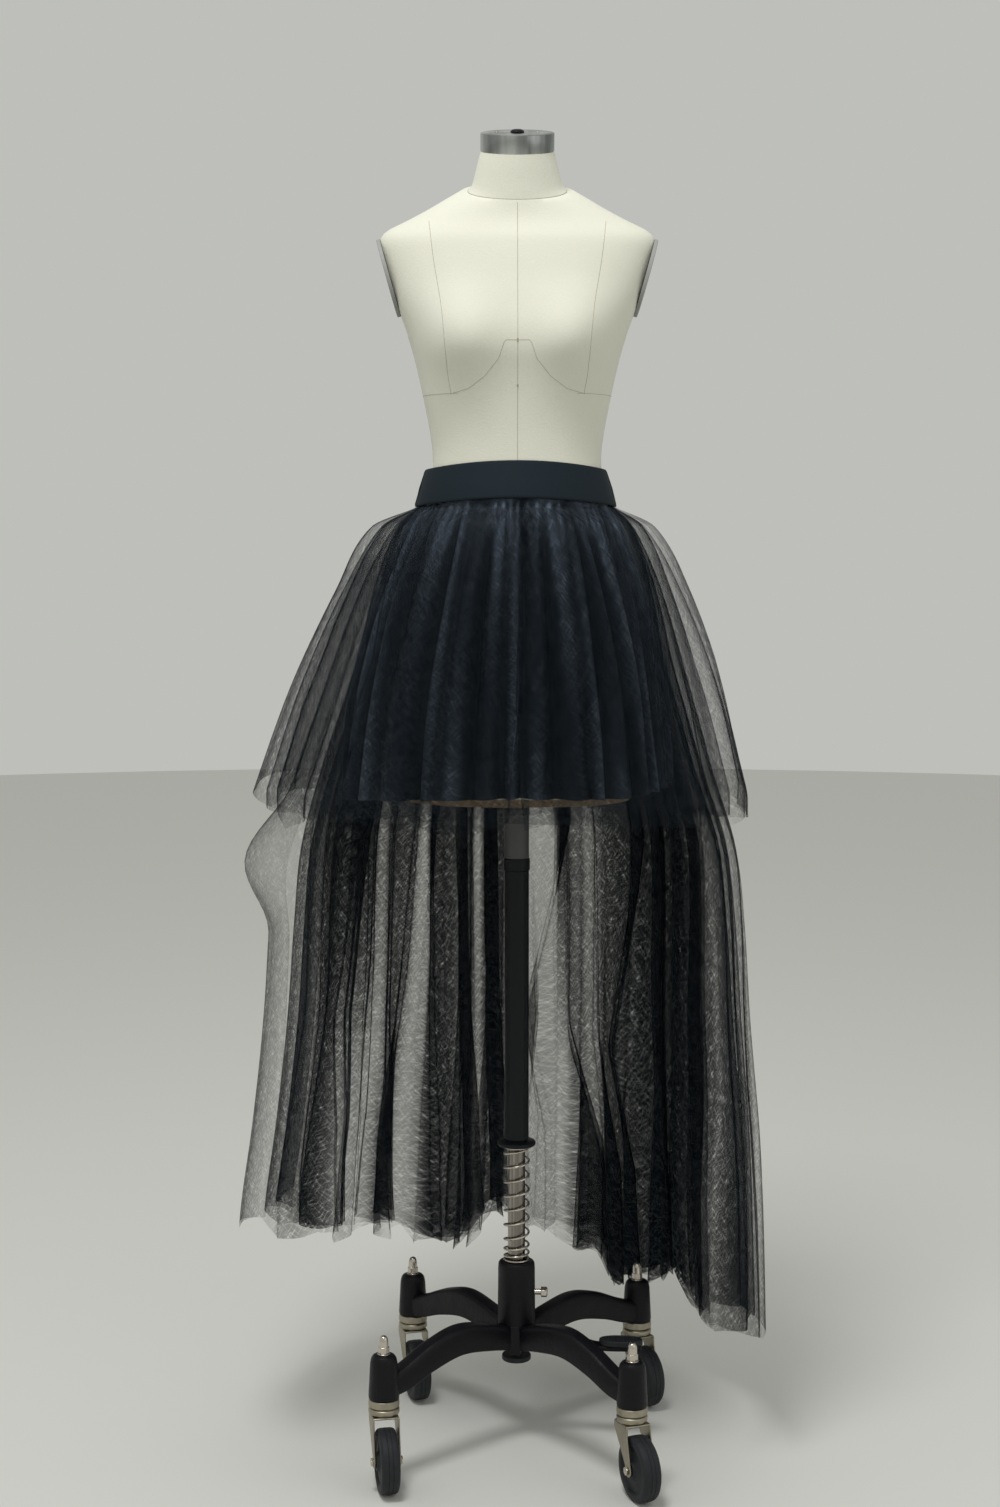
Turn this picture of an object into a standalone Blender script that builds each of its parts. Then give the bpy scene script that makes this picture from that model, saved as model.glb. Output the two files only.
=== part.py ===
"""Black high-low tulle skirt on a limbless dress form with a wheeled cast stand.

Metres, +Z up, front towards -Y.  The pole's axis stands at STAND_X, STAND_Y, so
that the box of the whole object is centred over the origin.
"""
import math

import bmesh
import bpy
from mathutils import Matrix, Vector

# ---- driving dimensions ------------------------------------------------------

GAP = 0.0003                     # between pieces that touch
STAND_X = 0.0208                 # pole axis from the middle of the whole object
STAND_Y = -0.0700
BASE_TURN = math.radians(-4.55)  # the cast base stands a little askew

# skirt
CLOTH = 0.0010                   # wall of each tulle and lining piece
BAND_WALL = 0.0016
BAND_BOTTOM = 1.2960             # at the centre front
BAND_HEIGHT = 0.0490
BAND_SIDE_DIP = 0.0100           # the band sits lower at the sides and the back
SEAM_ANGLE = 84.0                # degrees from the centre front to a side seam

# form
TORSO_BOTTOM = 0.9053
PLATE_THICKNESS = 0.0100
NECK_TOP = 1.7490                # middle of the neck's sloping top
NECK_LEAN = math.radians(14.6)   # the neck and its cap lean to the front
NECK_FORWARD = 0.0060
CAP_RADIUS = 0.0485
CAP_HEIGHT = 0.0235
ARM_PLATE_X = 0.1545             # armhole plane at ARM_PLATE_Z, leaning outwards
ARM_PLATE_Z = 1.5420
ARM_PLATE_LEAN = math.radians(15.4)
ARM_PLATE_THICKNESS = 0.0050

# pole
TUBE_RADIUS = 0.0165
TUBE_BORE = 0.0125
INNER_RADIUS = 0.0118
INNER_TOP = 0.7600
FLANGE_BOTTOM = 0.4180
FLANGE_TOP = 0.4265
FLANGE_RADIUS = 0.0260
COLLAR_BOTTOM = 0.7980
COLLAR_TOP = 0.8140
SOCKET_TOP = TORSO_BOTTOM - PLATE_THICKNESS - 2 * GAP

# base
HUB_TOP = 0.2560
HUB_BOTTOM = 0.1320
HUB_RADIUS = 0.0258
CASTER_HALF = 0.1630             # casters at the corners of a square
POST_BOTTOM = 0.1190
POST_TOP = 0.1780
STEM_RADIUS = 0.0045
WHEEL_RADIUS = 0.0425
WHEEL_WIDTH = 0.0250
WHEEL_SEGMENTS = 18
CASTER_TRAIL = 0.0240
FORK_PLATE = 0.0025
FORK_TOP = 0.0985
SPRING_TURNS = 11
SPRING_WIRE = 0.0016
SPRING_RADIUS = 0.0166
PEDAL_PIVOT = (0.0360, 0.0, 0.1480)

# ---- tables ------------------------------------------------------------------

# caster: name, side, depth (both in CASTER_HALF), swivel (degrees from the front)
CASTERS = (
    ("front_left", -1, -1, 16.0),
    ("front_right", 1, -1, 27.0),
    ("back_left", -1, 1, 20.0),
    ("back_right", 1, 1, 29.0),
)

# leg section: distance from the pole axis, bottom, top, half width
LEG_SECTIONS = (
    (0.010, 0.1330, 0.1650, 0.0140),
    (0.055, 0.1430, 0.1790, 0.0132),
    (0.105, 0.1490, 0.1870, 0.0130),
    (0.155, 0.1390, 0.1755, 0.0130),
    (0.195, 0.1250, 0.1580, 0.0134),
    (0.222, 0.1210, 0.1480, 0.0138),
)

# torso section: height, half width, front depth, back depth, squareness, slope
# (the slope tips a section forwards, rise over run)
TORSO_SECTIONS = (
    (TORSO_BOTTOM, 0.1540, 0.1050, 0.1150, 2.1, 0.00),
    (0.960, 0.1630, 0.1090, 0.1230, 2.1, 0.00),
    (1.030, 0.1680, 0.1110, 0.1260, 2.1, 0.00),
    (1.110, 0.1630, 0.1070, 0.1210, 2.1, 0.00),
    (1.190, 0.1470, 0.0990, 0.1080, 2.1, 0.00),
    (1.250, 0.1310, 0.0930, 0.0960, 2.1, 0.00),
    (1.300, 0.1180, 0.0880, 0.0880, 2.1, 0.00),
    (1.345, 0.1115, 0.0840, 0.0830, 2.1, 0.00),
    (1.380, 0.1145, 0.0840, 0.0840, 2.1, 0.00),
    (1.430, 0.1240, 0.0890, 0.0880, 2.2, 0.00),
    (1.460, 0.1305, 0.0930, 0.0900, 2.2, 0.00),
    (1.490, 0.1380, 0.0980, 0.0920, 2.3, 0.00),
    (1.520, 0.1475, 0.0980, 0.0940, 2.4, 0.00),
    (1.550, 0.1590, 0.0930, 0.0950, 2.5, 0.00),
    (1.580, 0.1700, 0.0860, 0.0930, 2.5, 0.00),
    (1.610, 0.1785, 0.0780, 0.0890, 2.5, 0.00),
    (1.632, 0.1810, 0.0700, 0.0840, 2.5, 0.00),
    (1.646, 0.1720, 0.0630, 0.0780, 2.4, 0.06),
    (1.660, 0.1450, 0.0570, 0.0720, 2.2, 0.14),
    (1.674, 0.1180, 0.0530, 0.0660, 2.1, 0.22),
    (1.688, 0.0930, 0.0510, 0.0600, 2.0, 0.30),
    (1.698, 0.0740, 0.0500, 0.0560, 2.0, 0.36),
)
BUST_X = 0.0760
BUST_Z = 1.5000
BUST_WIDTH = 0.0560
BUST_DEPTH = 0.0300

# neck section: height, radius across, radius front to back, slope, shift forwards
NECK_SECTIONS = (
    (1.6984, 0.0650, 0.0485, 0.36, 0.0000),
    (1.7050, 0.0600, 0.0482, 0.35, 0.0010),
    (1.7180, 0.0560, 0.0480, 0.32, 0.0025),
    (1.7340, 0.0520, 0.0480, 0.29, 0.0045),
    (NECK_TOP, 0.0480, 0.0480, math.tan(NECK_LEAN), NECK_FORWARD),
)

# skirt section: height, left, right, front and back reach from the pole axis
LINING = (
    (1.2850, 0.1304, 0.1269, 0.0985, 0.1019),
    (1.2600, 0.1470, 0.1400, 0.1160, 0.1240),
    (1.1700, 0.1830, 0.1700, 0.1420, 0.1580),
    (1.0400, 0.2190, 0.1950, 0.1580, 0.1800),
    (0.9080, 0.2350, 0.2080, 0.1670, 0.1920),
)
LONG_TULLE = (
    (1.2850, 0.1318, 0.1283, 0.0990, 0.1033),
    (1.2600, 0.1620, 0.1540, 0.1320, 0.1480),
    (1.1800, 0.2070, 0.1920, 0.1680, 0.2060),
    (1.0500, 0.2550, 0.2300, 0.1980, 0.2620),
    (0.9300, 0.2960, 0.2640, 0.2180, 0.3020),
    (0.8300, 0.3220, 0.2960, 0.2320, 0.3240),
    (0.7300, 0.3320, 0.3080, 0.2420, 0.3400),
    (0.6000, 0.3420, 0.3160, 0.2520, 0.3560),
    (0.4500, 0.3600, 0.3280, 0.2620, 0.3700),
    (0.3200, 0.3780, 0.3340, 0.2700, 0.3820),
    (0.1500, 0.3880, 0.3400, 0.2760, 0.3920),
)
SHORT_INNER = (
    (1.2850, 0.1332, 0.1297, 0.0999, 0.1047),
    (1.2600, 0.1790, 0.1690, 0.1480, 0.1660),
    (1.1800, 0.2270, 0.2120, 0.1850, 0.2260),
    (1.0500, 0.2840, 0.2600, 0.2140, 0.2820),
    (0.9100, 0.3310, 0.2960, 0.2340, 0.3220),
)
SHORT_OUTER = (
    (1.2850, 0.1346, 0.1311, 0.1013, 0.1061),
    (1.2600, 0.1950, 0.1820, 0.1580, 0.1780),
    (1.1800, 0.2420, 0.2270, 0.1970, 0.2420),
    (1.0500, 0.3040, 0.2740, 0.2280, 0.3000),
    (0.9100, 0.3560, 0.3120, 0.2480, 0.3420),
)

# hem: angle from the centre front (degrees, to the wearer's left), height
LINING_HEM = ((0, 0.920), (90, 0.926), (180, 0.912), (270, 0.898), (360, 0.920))
SHORT_INNER_HEM = ((0, 0.900), (60, 0.880), (120, 0.872), (180, 0.880),
                   (250, 0.905), (300, 0.880), (360, 0.900))
SHORT_OUTER_HEM = ((0, 0.908), (60, 0.892), (95, 0.884), (180, 0.890),
                   (265, 0.926), (310, 0.900), (360, 0.908))
LONG_HEM = ((70, 0.210), (90, 0.170), (110, 0.118), (130, 0.098), (150, 0.105),
            (165, 0.150), (180, 0.172), (200, 0.170), (215, 0.190), (235, 0.215),
            (255, 0.280), (270, 0.322), (290, 0.350))

# the train's free side swells out under the short hem:
# middle angle, half span, middle height, half span, depth
CURL = (274.0, 36.0, 0.8150, 0.1050, 0.0400)

# gathers in a full turn, and their depth at the hem
LINING_GATHERS = (18, 0.0070)
SHORT_INNER_GATHERS = (13, 0.0070)
SHORT_OUTER_GATHERS = (18, 0.0085)
LONG_GATHERS = (32, 0.0115)

# rows of each wall, as shares of its drop
LINING_ROWS = (0.0, 0.05, 0.16, 0.50, 1.0)
SHORT_ROWS = (0.0, 0.05, 0.16, 0.36, 0.66, 1.0)
LONG_ROWS = (0.0, 0.018, 0.057, 0.13, 0.25, 0.42, 0.68, 1.0)
LEFT_ROWS = (0.0, 0.018, 0.060, 0.14, 0.27, 0.395, 0.46, 0.55, 0.75, 1.0)

# long tulle panel: name, first and last angle from the centre front, rows
LONG_PANELS = (
    ("long_tulle_right", 66.0, 128.0, LONG_ROWS),
    ("long_tulle_back", 128.0, 232.0, LONG_ROWS),
    ("long_tulle_left", 232.0, 296.0, LEFT_ROWS),
)

# ---- scene, materials and small helpers --------------------------------------

for stale in list(bpy.data.objects):
    bpy.data.objects.remove(stale, do_unlink=True)


def new_collection(name):
    collection = bpy.data.collections.new(name)
    bpy.context.scene.collection.children.link(collection)
    return collection


PARTS = new_collection("tulle_skirt")
CUTTERS = new_collection("cutters")


def make_material(name, colour, roughness, metallic=0.0):
    material = bpy.data.materials.new(name)
    material.use_nodes = True
    shader = material.node_tree.nodes["Principled BSDF"]
    shader.inputs["Base Color"].default_value = (*colour, 1.0)
    shader.inputs["Roughness"].default_value = roughness
    shader.inputs["Metallic"].default_value = metallic
    return material


BAND_CLOTH = make_material("band_cloth", (0.018, 0.024, 0.030), 0.75)
SATIN = make_material("lining_satin", (0.010, 0.013, 0.018), 0.40)
TULLE = make_material("black_tulle", (0.012, 0.015, 0.020), 0.70)
CANVAS = make_material("form_canvas", (0.74, 0.73, 0.62), 0.80)
GREY_BOARD = make_material("arm_plate_board", (0.30, 0.30, 0.29), 0.60)
STEEL = make_material("brushed_steel", (0.42, 0.43, 0.42), 0.30, 1.0)
NICKEL = make_material("nickel", (0.55, 0.50, 0.44), 0.25, 1.0)
BLACK_PAINT = make_material("black_paint", (0.010, 0.010, 0.012), 0.30)
CAST_IRON = make_material("cast_iron_enamel", (0.006, 0.006, 0.008), 0.45)
ZINC = make_material("yellow_zinc", (0.36, 0.34, 0.27), 0.35, 1.0)
RUBBER = make_material("black_rubber", (0.030, 0.032, 0.036), 0.60)


def make_empty(name, location, turn=0.0, parent=None):
    empty = bpy.data.objects.new(name, None)
    PARTS.objects.link(empty)
    empty.parent = parent
    empty.location = location
    empty.rotation_euler = (0.0, 0.0, turn)
    return empty


STAND = make_empty("stand_axis", (STAND_X, STAND_Y, 0.0))


def mesh_object(name, bm, material, parent=STAND, location=(0, 0, 0), rotation=(0, 0, 0)):
    """An object from a bmesh, in the parts' collection."""
    mesh = bpy.data.meshes.new(name)
    bm.to_mesh(mesh)
    bm.free()
    return add_object(name, mesh, material, parent, location, rotation)


def add_object(name, data, material, parent=STAND, location=(0, 0, 0), rotation=(0, 0, 0)):
    thing = bpy.data.objects.new(name, data)
    PARTS.objects.link(thing)
    if not data.materials:
        data.materials.append(material)
    thing.parent = parent
    thing.location = location
    thing.rotation_euler = rotation
    return thing


def as_cutter(thing):
    """Move an object among the cutters, where the build leaves it out."""
    PARTS.objects.unlink(thing)
    CUTTERS.objects.link(thing)
    thing.hide_render = True
    thing.display_type = 'WIRE'
    return thing


def combine(target, tool, operation):
    modifier = target.modifiers.new(operation.lower(), 'BOOLEAN')
    modifier.object = as_cutter(tool)
    modifier.operation = operation
    modifier.solver = 'EXACT'


def turned(name, profile, material, segments=16, closed=False, **placing):
    """A turned solid. The profile (radius, height) runs top to bottom outside."""
    mesh = bpy.data.meshes.new(name)
    count = len(profile)
    edges = [(i, i + 1) for i in range(count - 1)]
    if closed:
        edges.append((count - 1, 0))
    mesh.from_pydata([(radius, 0.0, height) for radius, height in profile], edges, [])
    thing = add_object(name, mesh, material, **placing)
    screw = thing.modifiers.new("turn", 'SCREW')
    screw.steps = segments
    screw.render_steps = segments
    screw.use_merge_vertices = True
    screw.merge_threshold = 0.00002
    return thing


def tube(name, outer, bore, bottom, top, material, segments=16, **placing):
    profile = ((outer, top), (outer, bottom), (bore, bottom), (bore, top))
    return turned(name, profile, material, segments, closed=True, **placing)


def rod(name, radius, bottom, top, material, segments=8, **placing):
    profile = ((0.0, top), (radius, top), (radius, bottom), (0.0, bottom))
    return turned(name, profile, material, segments, **placing)


def box(name, size, centre, material, **placing):
    bm = bmesh.new()
    bmesh.ops.create_cube(bm, size=1.0)
    bmesh.ops.scale(bm, vec=size, verts=bm.verts)
    bmesh.ops.translate(bm, vec=centre, verts=bm.verts)
    return mesh_object(name, bm, material, **placing)


def loft(name, rings, material, **placing):
    """A closed solid through rings of equal count, with flat ends."""
    bm = bmesh.new()
    rows = [[bm.verts.new(point) for point in ring] for ring in rings]
    count = len(rows[0])
    for low, high in zip(rows, rows[1:]):
        for i in range(count):
            j = (i + 1) % count
            bm.faces.new((low[i], low[j], high[j], high[i]))
    bm.faces.new(list(reversed(rows[0])))
    bm.faces.new(rows[-1])
    bmesh.ops.recalc_face_normals(bm, faces=bm.faces)
    return mesh_object(name, bm, material, **placing)


def between(table, key, column):
    """A value from a table's column, smoothly between the rows about the key."""
    rows = sorted(table)
    if key <= rows[0][0]:
        return rows[0][column]
    if key >= rows[-1][0]:
        return rows[-1][column]
    index = max(i for i, row in enumerate(rows) if row[0] <= key)
    index = min(index, len(rows) - 2)
    low = rows[index]
    high = rows[index + 1]
    before = rows[max(index - 1, 0)]
    after = rows[min(index + 2, len(rows) - 1)]
    span = high[0] - low[0]
    t = (key - low[0]) / span
    start = (high[column] - before[column]) / (high[0] - before[0]) * span
    end = (after[column] - low[column]) / (after[0] - low[0]) * span
    return ((2 * t ** 3 - 3 * t ** 2 + 1) * low[column] + (t ** 3 - 2 * t ** 2 + t) * start
            + (3 * t ** 2 - 2 * t ** 3) * high[column] + (t ** 3 - t ** 2) * end)


# ---- skirt -------------------------------------------------------------------

def on_section(table, angle, height, outwards=0.0):
    """A point of a skirt layer: angle from the centre front, then out or in."""
    sine = math.sin(math.radians(angle))
    cosine = math.cos(math.radians(angle))
    across = between(table, height, 2 if sine > 0 else 1)
    depth = between(table, height, 3 if cosine > 0 else 4)
    normal = Vector((sine * depth, -cosine * across, 0.0)).normalized()
    return Vector((sine * across, -cosine * depth, height)) + normal * outwards


def gather_wave(angle, gathers):
    """Uneven soft gathers between -1 and 1; it repeats after a full turn."""
    turn = math.radians(angle)
    phase = gathers * turn + 0.9 * math.sin(3 * turn + 0.4) + 0.6 * math.sin(5 * turn)
    swell = 0.72 + 0.28 * math.sin(7 * turn + 1.1)
    return swell * math.cos(phase)


def curl(angle, height):
    """How far the train's left side stands out, at an angle and a height."""
    middle, turn_span, level, rise_span, depth = CURL
    turn = (angle % 360.0 - middle) / turn_span
    rise = (height - level) / rise_span
    if abs(turn) >= 1.0 or abs(rise) >= 1.0:
        return 0.0
    return depth * math.cos(turn * math.pi / 2) ** 2 * math.cos(rise * math.pi / 2) ** 2


def band_drop(angle):
    cosine = math.cos(math.radians(angle))
    return BAND_SIDE_DIP * (1.0 - max(cosine, 0.0) ** 2)


def cloth_wall(name, table, hem, gathers, first, last, columns, rows, top, wall, material):
    """A gathered wall from the top seam to the hem, between two angles.

    The rows are shares of the drop; they crowd at the waist, where the cloth swells.
    """
    count, depth = gathers
    full_turn = last - first >= 360.0
    steps = columns if full_turn else columns + 1
    bm = bmesh.new()
    grid = []
    for fraction in rows:
        for side in (0.0, wall):
            ring = []
            for step in range(steps):
                angle = first + (last - first) * step / columns
                start = top - band_drop(angle)
                height = start + (between(hem, angle % 360.0, 1) - start) * fraction
                growth = depth * min(1.0, 1.3 * fraction)
                out = growth * gather_wave(angle, count) + side
                if table is LONG_TULLE:
                    out += curl(angle, height)
                ring.append(bm.verts.new(on_section(table, angle, height, out)))
            grid.append(ring)
    inner = grid[0::2]
    outer = grid[1::2]
    spans = range(steps if full_turn else steps - 1)
    for row in range(len(rows) - 1):
        for i in spans:
            j = (i + 1) % steps
            # both faces of the cloth are split along the same diagonal
            bm.faces.new((outer[row][i], outer[row + 1][i], outer[row + 1][j]))
            bm.faces.new((outer[row][i], outer[row + 1][j], outer[row][j]))
            bm.faces.new((inner[row + 1][j], inner[row + 1][i], inner[row][i]))
            bm.faces.new((inner[row][j], inner[row + 1][j], inner[row][i]))
    for i in spans:
        j = (i + 1) % steps
        bm.faces.new((inner[0][i], outer[0][i], outer[0][j], inner[0][j]))
        bm.faces.new((inner[-1][j], outer[-1][j], outer[-1][i], inner[-1][i]))
    if not full_turn:
        for row in range(len(rows) - 1):
            bm.faces.new((inner[row][0], inner[row + 1][0], outer[row + 1][0], outer[row][0]))
            bm.faces.new((outer[row][-1], outer[row + 1][-1], inner[row + 1][-1],
                          inner[row][-1]))
    bmesh.ops.recalc_face_normals(bm, faces=bm.faces)
    return mesh_object(name, bm, material)


def waistband():
    """A smooth band in two pieces, joined at the side seams."""
    top = BAND_BOTTOM + BAND_HEIGHT
    table = (
        (BAND_BOTTOM - BAND_SIDE_DIP, 0.1345, 0.1310, 0.1045, 0.1060),
        (BAND_BOTTOM, 0.1310, 0.1275, 0.1012, 0.1030),
        (top - BAND_SIDE_DIP, 0.1205, 0.1165, 0.0870, 0.0850),
        (top, 0.1190, 0.1150, 0.0852, 0.0840),
    )
    edge = [(angle, BAND_BOTTOM - band_drop(angle)) for angle in range(0, 361, 15)]
    seam = math.degrees(GAP / 2 / 0.13)
    for name, first, last, ruck in (
            ("waistband_front", -SEAM_ANGLE + seam, SEAM_ANGLE - seam, 0.0),
            ("waistband_back", SEAM_ANGLE + seam, 360.0 - SEAM_ANGLE - seam, 0.0008)):
        cloth_wall(name, table, edge, (38, ruck), first, last, 24, (0.0, 1.0), top,
                   BAND_WALL, BAND_CLOTH)


def lining():
    """The short satin underskirt: a front and a back panel."""
    seam = math.degrees(GAP / 2 / 0.12)
    for name, first, last in (
            ("lining_front", -SEAM_ANGLE + seam, SEAM_ANGLE - seam),
            ("lining_back", SEAM_ANGLE + seam, 360.0 - SEAM_ANGLE - seam)):
        cloth_wall(name, LINING, LINING_HEM, LINING_GATHERS, first, last, 26, LINING_ROWS,
                   BAND_BOTTOM - GAP, CLOTH, SATIN)


def short_tulle():
    """Two gathered rings of tulle that hang from the band's lower edge."""
    top = BAND_BOTTOM - GAP
    cloth_wall("short_tulle_inner", SHORT_INNER, SHORT_INNER_HEM, SHORT_INNER_GATHERS,
               0.0, 360.0, 54, SHORT_ROWS, top, CLOTH, TULLE)
    cloth_wall("short_tulle_outer", SHORT_OUTER, SHORT_OUTER_HEM, SHORT_OUTER_GATHERS,
               0.0, 360.0, 72, SHORT_ROWS, top, CLOTH, TULLE)


def long_tulle():
    """The train: three panels, open at the centre front."""
    seam = math.degrees(GAP / 2 / 0.13)
    for name, first, last, rows in LONG_PANELS:
        columns = round((last - first) / 2.2)
        cloth_wall(name, LONG_TULLE, LONG_HEM, LONG_GATHERS, first + seam, last - seam,
                   columns, rows, BAND_BOTTOM - GAP, CLOTH, TULLE)


# ---- form --------------------------------------------------------------------

def torso_point(section, turn):
    """A point on a torso section; turn runs from the centre front."""
    height, across, front, back, power, slope = section
    sine = math.sin(turn)
    cosine = math.cos(turn)
    x = math.copysign(abs(sine) ** (2 / power), sine) * across
    depth = front if cosine > 0 else back
    y = -math.copysign(abs(cosine) ** (2 / power), cosine) * depth
    if cosine > 0:
        for side in (-1, 1):
            span = ((x - side * BUST_X) ** 2 + (height - BUST_Z) ** 2) / BUST_WIDTH ** 2
            y -= BUST_DEPTH * math.exp(-span) * cosine ** 0.5
    return (x, y, height + slope * y)


def torso():
    columns = 24
    rings = [[torso_point(section, 2 * math.pi * i / columns) for i in range(columns)]
             for section in TORSO_SECTIONS]
    body = loft("form_torso", rings, CANVAS)
    for side in (-1, 1):
        cutter = box("armhole_cutter", (0.06, 0.4, 0.16), (0.03, 0.0, 0.05), CANVAS,
                     location=(side * ARM_PLATE_X, 0.0, ARM_PLATE_Z),
                     rotation=(0.0, ARM_PLATE_LEAN, 0.0 if side > 0 else math.pi))
        combine(body, cutter, 'DIFFERENCE')


def arm_plates():
    """Oval boards that close the armholes, 0.3 mm off the torso's flats."""
    bm = bmesh.new()
    bmesh.ops.create_cone(bm, cap_ends=True, segments=24, radius1=1.0, radius2=1.0,
                          depth=ARM_PLATE_THICKNESS)
    bmesh.ops.rotate(bm, verts=bm.verts, matrix=Matrix.Rotation(math.pi / 2, 3, 'Y'))
    bmesh.ops.scale(bm, vec=(1.0, 0.0450, 0.0520), verts=bm.verts)
    bmesh.ops.translate(bm, vec=(ARM_PLATE_THICKNESS / 2 + GAP, 0.0, 0.0460), verts=bm.verts)
    mesh = bpy.data.meshes.new("arm_plate")
    bm.to_mesh(mesh)
    bm.free()
    for name, turn in (("arm_plate_right", 0.0), ("arm_plate_left", math.pi)):
        side = 1 if turn == 0.0 else -1
        plate = add_object(name, mesh, GREY_BOARD)
        plate.location = (side * ARM_PLATE_X, 0.0, ARM_PLATE_Z)
        plate.rotation_euler = (0.0, ARM_PLATE_LEAN, turn)


def form_ends():
    """Neck, steel cap with its knob, and the bottom plate on the pole."""
    columns = 24
    rings = []
    for height, across, depth, slope, forward in NECK_SECTIONS:
        ring = []
        for i in range(columns):
            turn = 2 * math.pi * i / columns
            y = -math.cos(turn) * depth
            ring.append((math.sin(turn) * across, y - forward, height + slope * y))
        rings.append(ring)
    loft("form_neck", rings, CANVAS)
    # the cap and its knob are turned about the leaning axis of the neck
    seat = {"location": (0.0, -NECK_FORWARD, NECK_TOP), "rotation": (NECK_LEAN, 0.0, 0.0)}
    top = GAP + CAP_HEIGHT
    turned("neck_cap", ((0.0, top), (CAP_RADIUS - 0.0015, top), (CAP_RADIUS, top - 0.0015),
                        (CAP_RADIUS, GAP), (0.0, GAP)), STEEL, 28, **seat)
    turned("neck_knob", ((0.0, top + 0.0042), (0.0050, top + 0.0040), (0.0088, top + 0.0020),
                         (0.0092, top + GAP), (0.0, top + GAP)), BLACK_PAINT, 12, **seat)
    plate_top = TORSO_BOTTOM - GAP
    outline = [torso_point(TORSO_SECTIONS[0], 2 * math.pi * i / 32) for i in range(32)]
    loft("form_bottom_plate",
         [[(x * 0.985, y * 0.985, height) for x, y, _ in outline]
          for height in (plate_top - PLATE_THICKNESS, plate_top)], CANVAS)


# ---- pole --------------------------------------------------------------------

def mast():
    """Outer tube with its socket, collar and flange; it slides on the inner tube."""
    tube("pole_outer", TUBE_RADIUS, TUBE_BORE, FLANGE_TOP + GAP, COLLAR_BOTTOM - GAP,
         BLACK_PAINT)
    tube("pole_collar", TUBE_RADIUS + 0.0012, TUBE_BORE, COLLAR_BOTTOM, COLLAR_TOP,
         BLACK_PAINT)
    tube("pole_socket", TUBE_RADIUS, TUBE_BORE, COLLAR_TOP + GAP, SOCKET_TOP, BLACK_PAINT)
    turned("pole_flange", ((TUBE_RADIUS, FLANGE_TOP), (FLANGE_RADIUS, FLANGE_TOP - 0.0030),
                           (FLANGE_RADIUS, FLANGE_BOTTOM + 0.0020),
                           (FLANGE_RADIUS - 0.0020, FLANGE_BOTTOM),
                           (TUBE_BORE, FLANGE_BOTTOM), (TUBE_BORE, FLANGE_TOP)),
           BLACK_PAINT, closed=True)


def spring():
    """A helix on the hub, round the inner tube, up to the flange."""
    low = HUB_TOP + GAP + SPRING_WIRE
    high = FLANGE_BOTTOM - GAP - SPRING_WIRE
    per_turn = 10
    count = SPRING_TURNS * per_turn
    curve = bpy.data.curves.new("spring", 'CURVE')
    curve.dimensions = '3D'
    curve.bevel_depth = SPRING_WIRE
    curve.bevel_resolution = 0
    curve.use_fill_caps = True
    spline = curve.splines.new('POLY')
    spline.points.add(count)
    for i, point in enumerate(spline.points):
        turn = 2 * math.pi * i / per_turn
        # the end turns lie flat on their seats
        rise = (i - per_turn / 2) / (count - per_turn)
        height = low + (high - low) * min(max(rise, 0.0), 1.0)
        point.co = (SPRING_RADIUS * math.cos(turn), SPRING_RADIUS * math.sin(turn), height, 1.0)
    add_object("spring", curve, NICKEL)


# ---- base --------------------------------------------------------------------

BASE = make_empty("base_axis", (0.0, 0.0, 0.0), BASE_TURN, STAND)


def leg(direction):
    """One arched leg from the hub to a caster post, with chamfered edges."""
    along = Vector(direction).normalized()
    across = Vector((-along.y, along.x, 0.0))
    rings = []
    for distance, bottom, top, half in LEG_SECTIONS:
        chamfer = 0.0045
        outline = ((-half, bottom), (half, bottom),
                   (half, top - chamfer), (half - chamfer, top),
                   (-half + chamfer, top), (-half, top - chamfer))
        rings.append([along * distance + across * side + Vector((0, 0, height))
                      for side, height in outline])
    return loft("leg", rings, CAST_IRON, parent=BASE)


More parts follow.
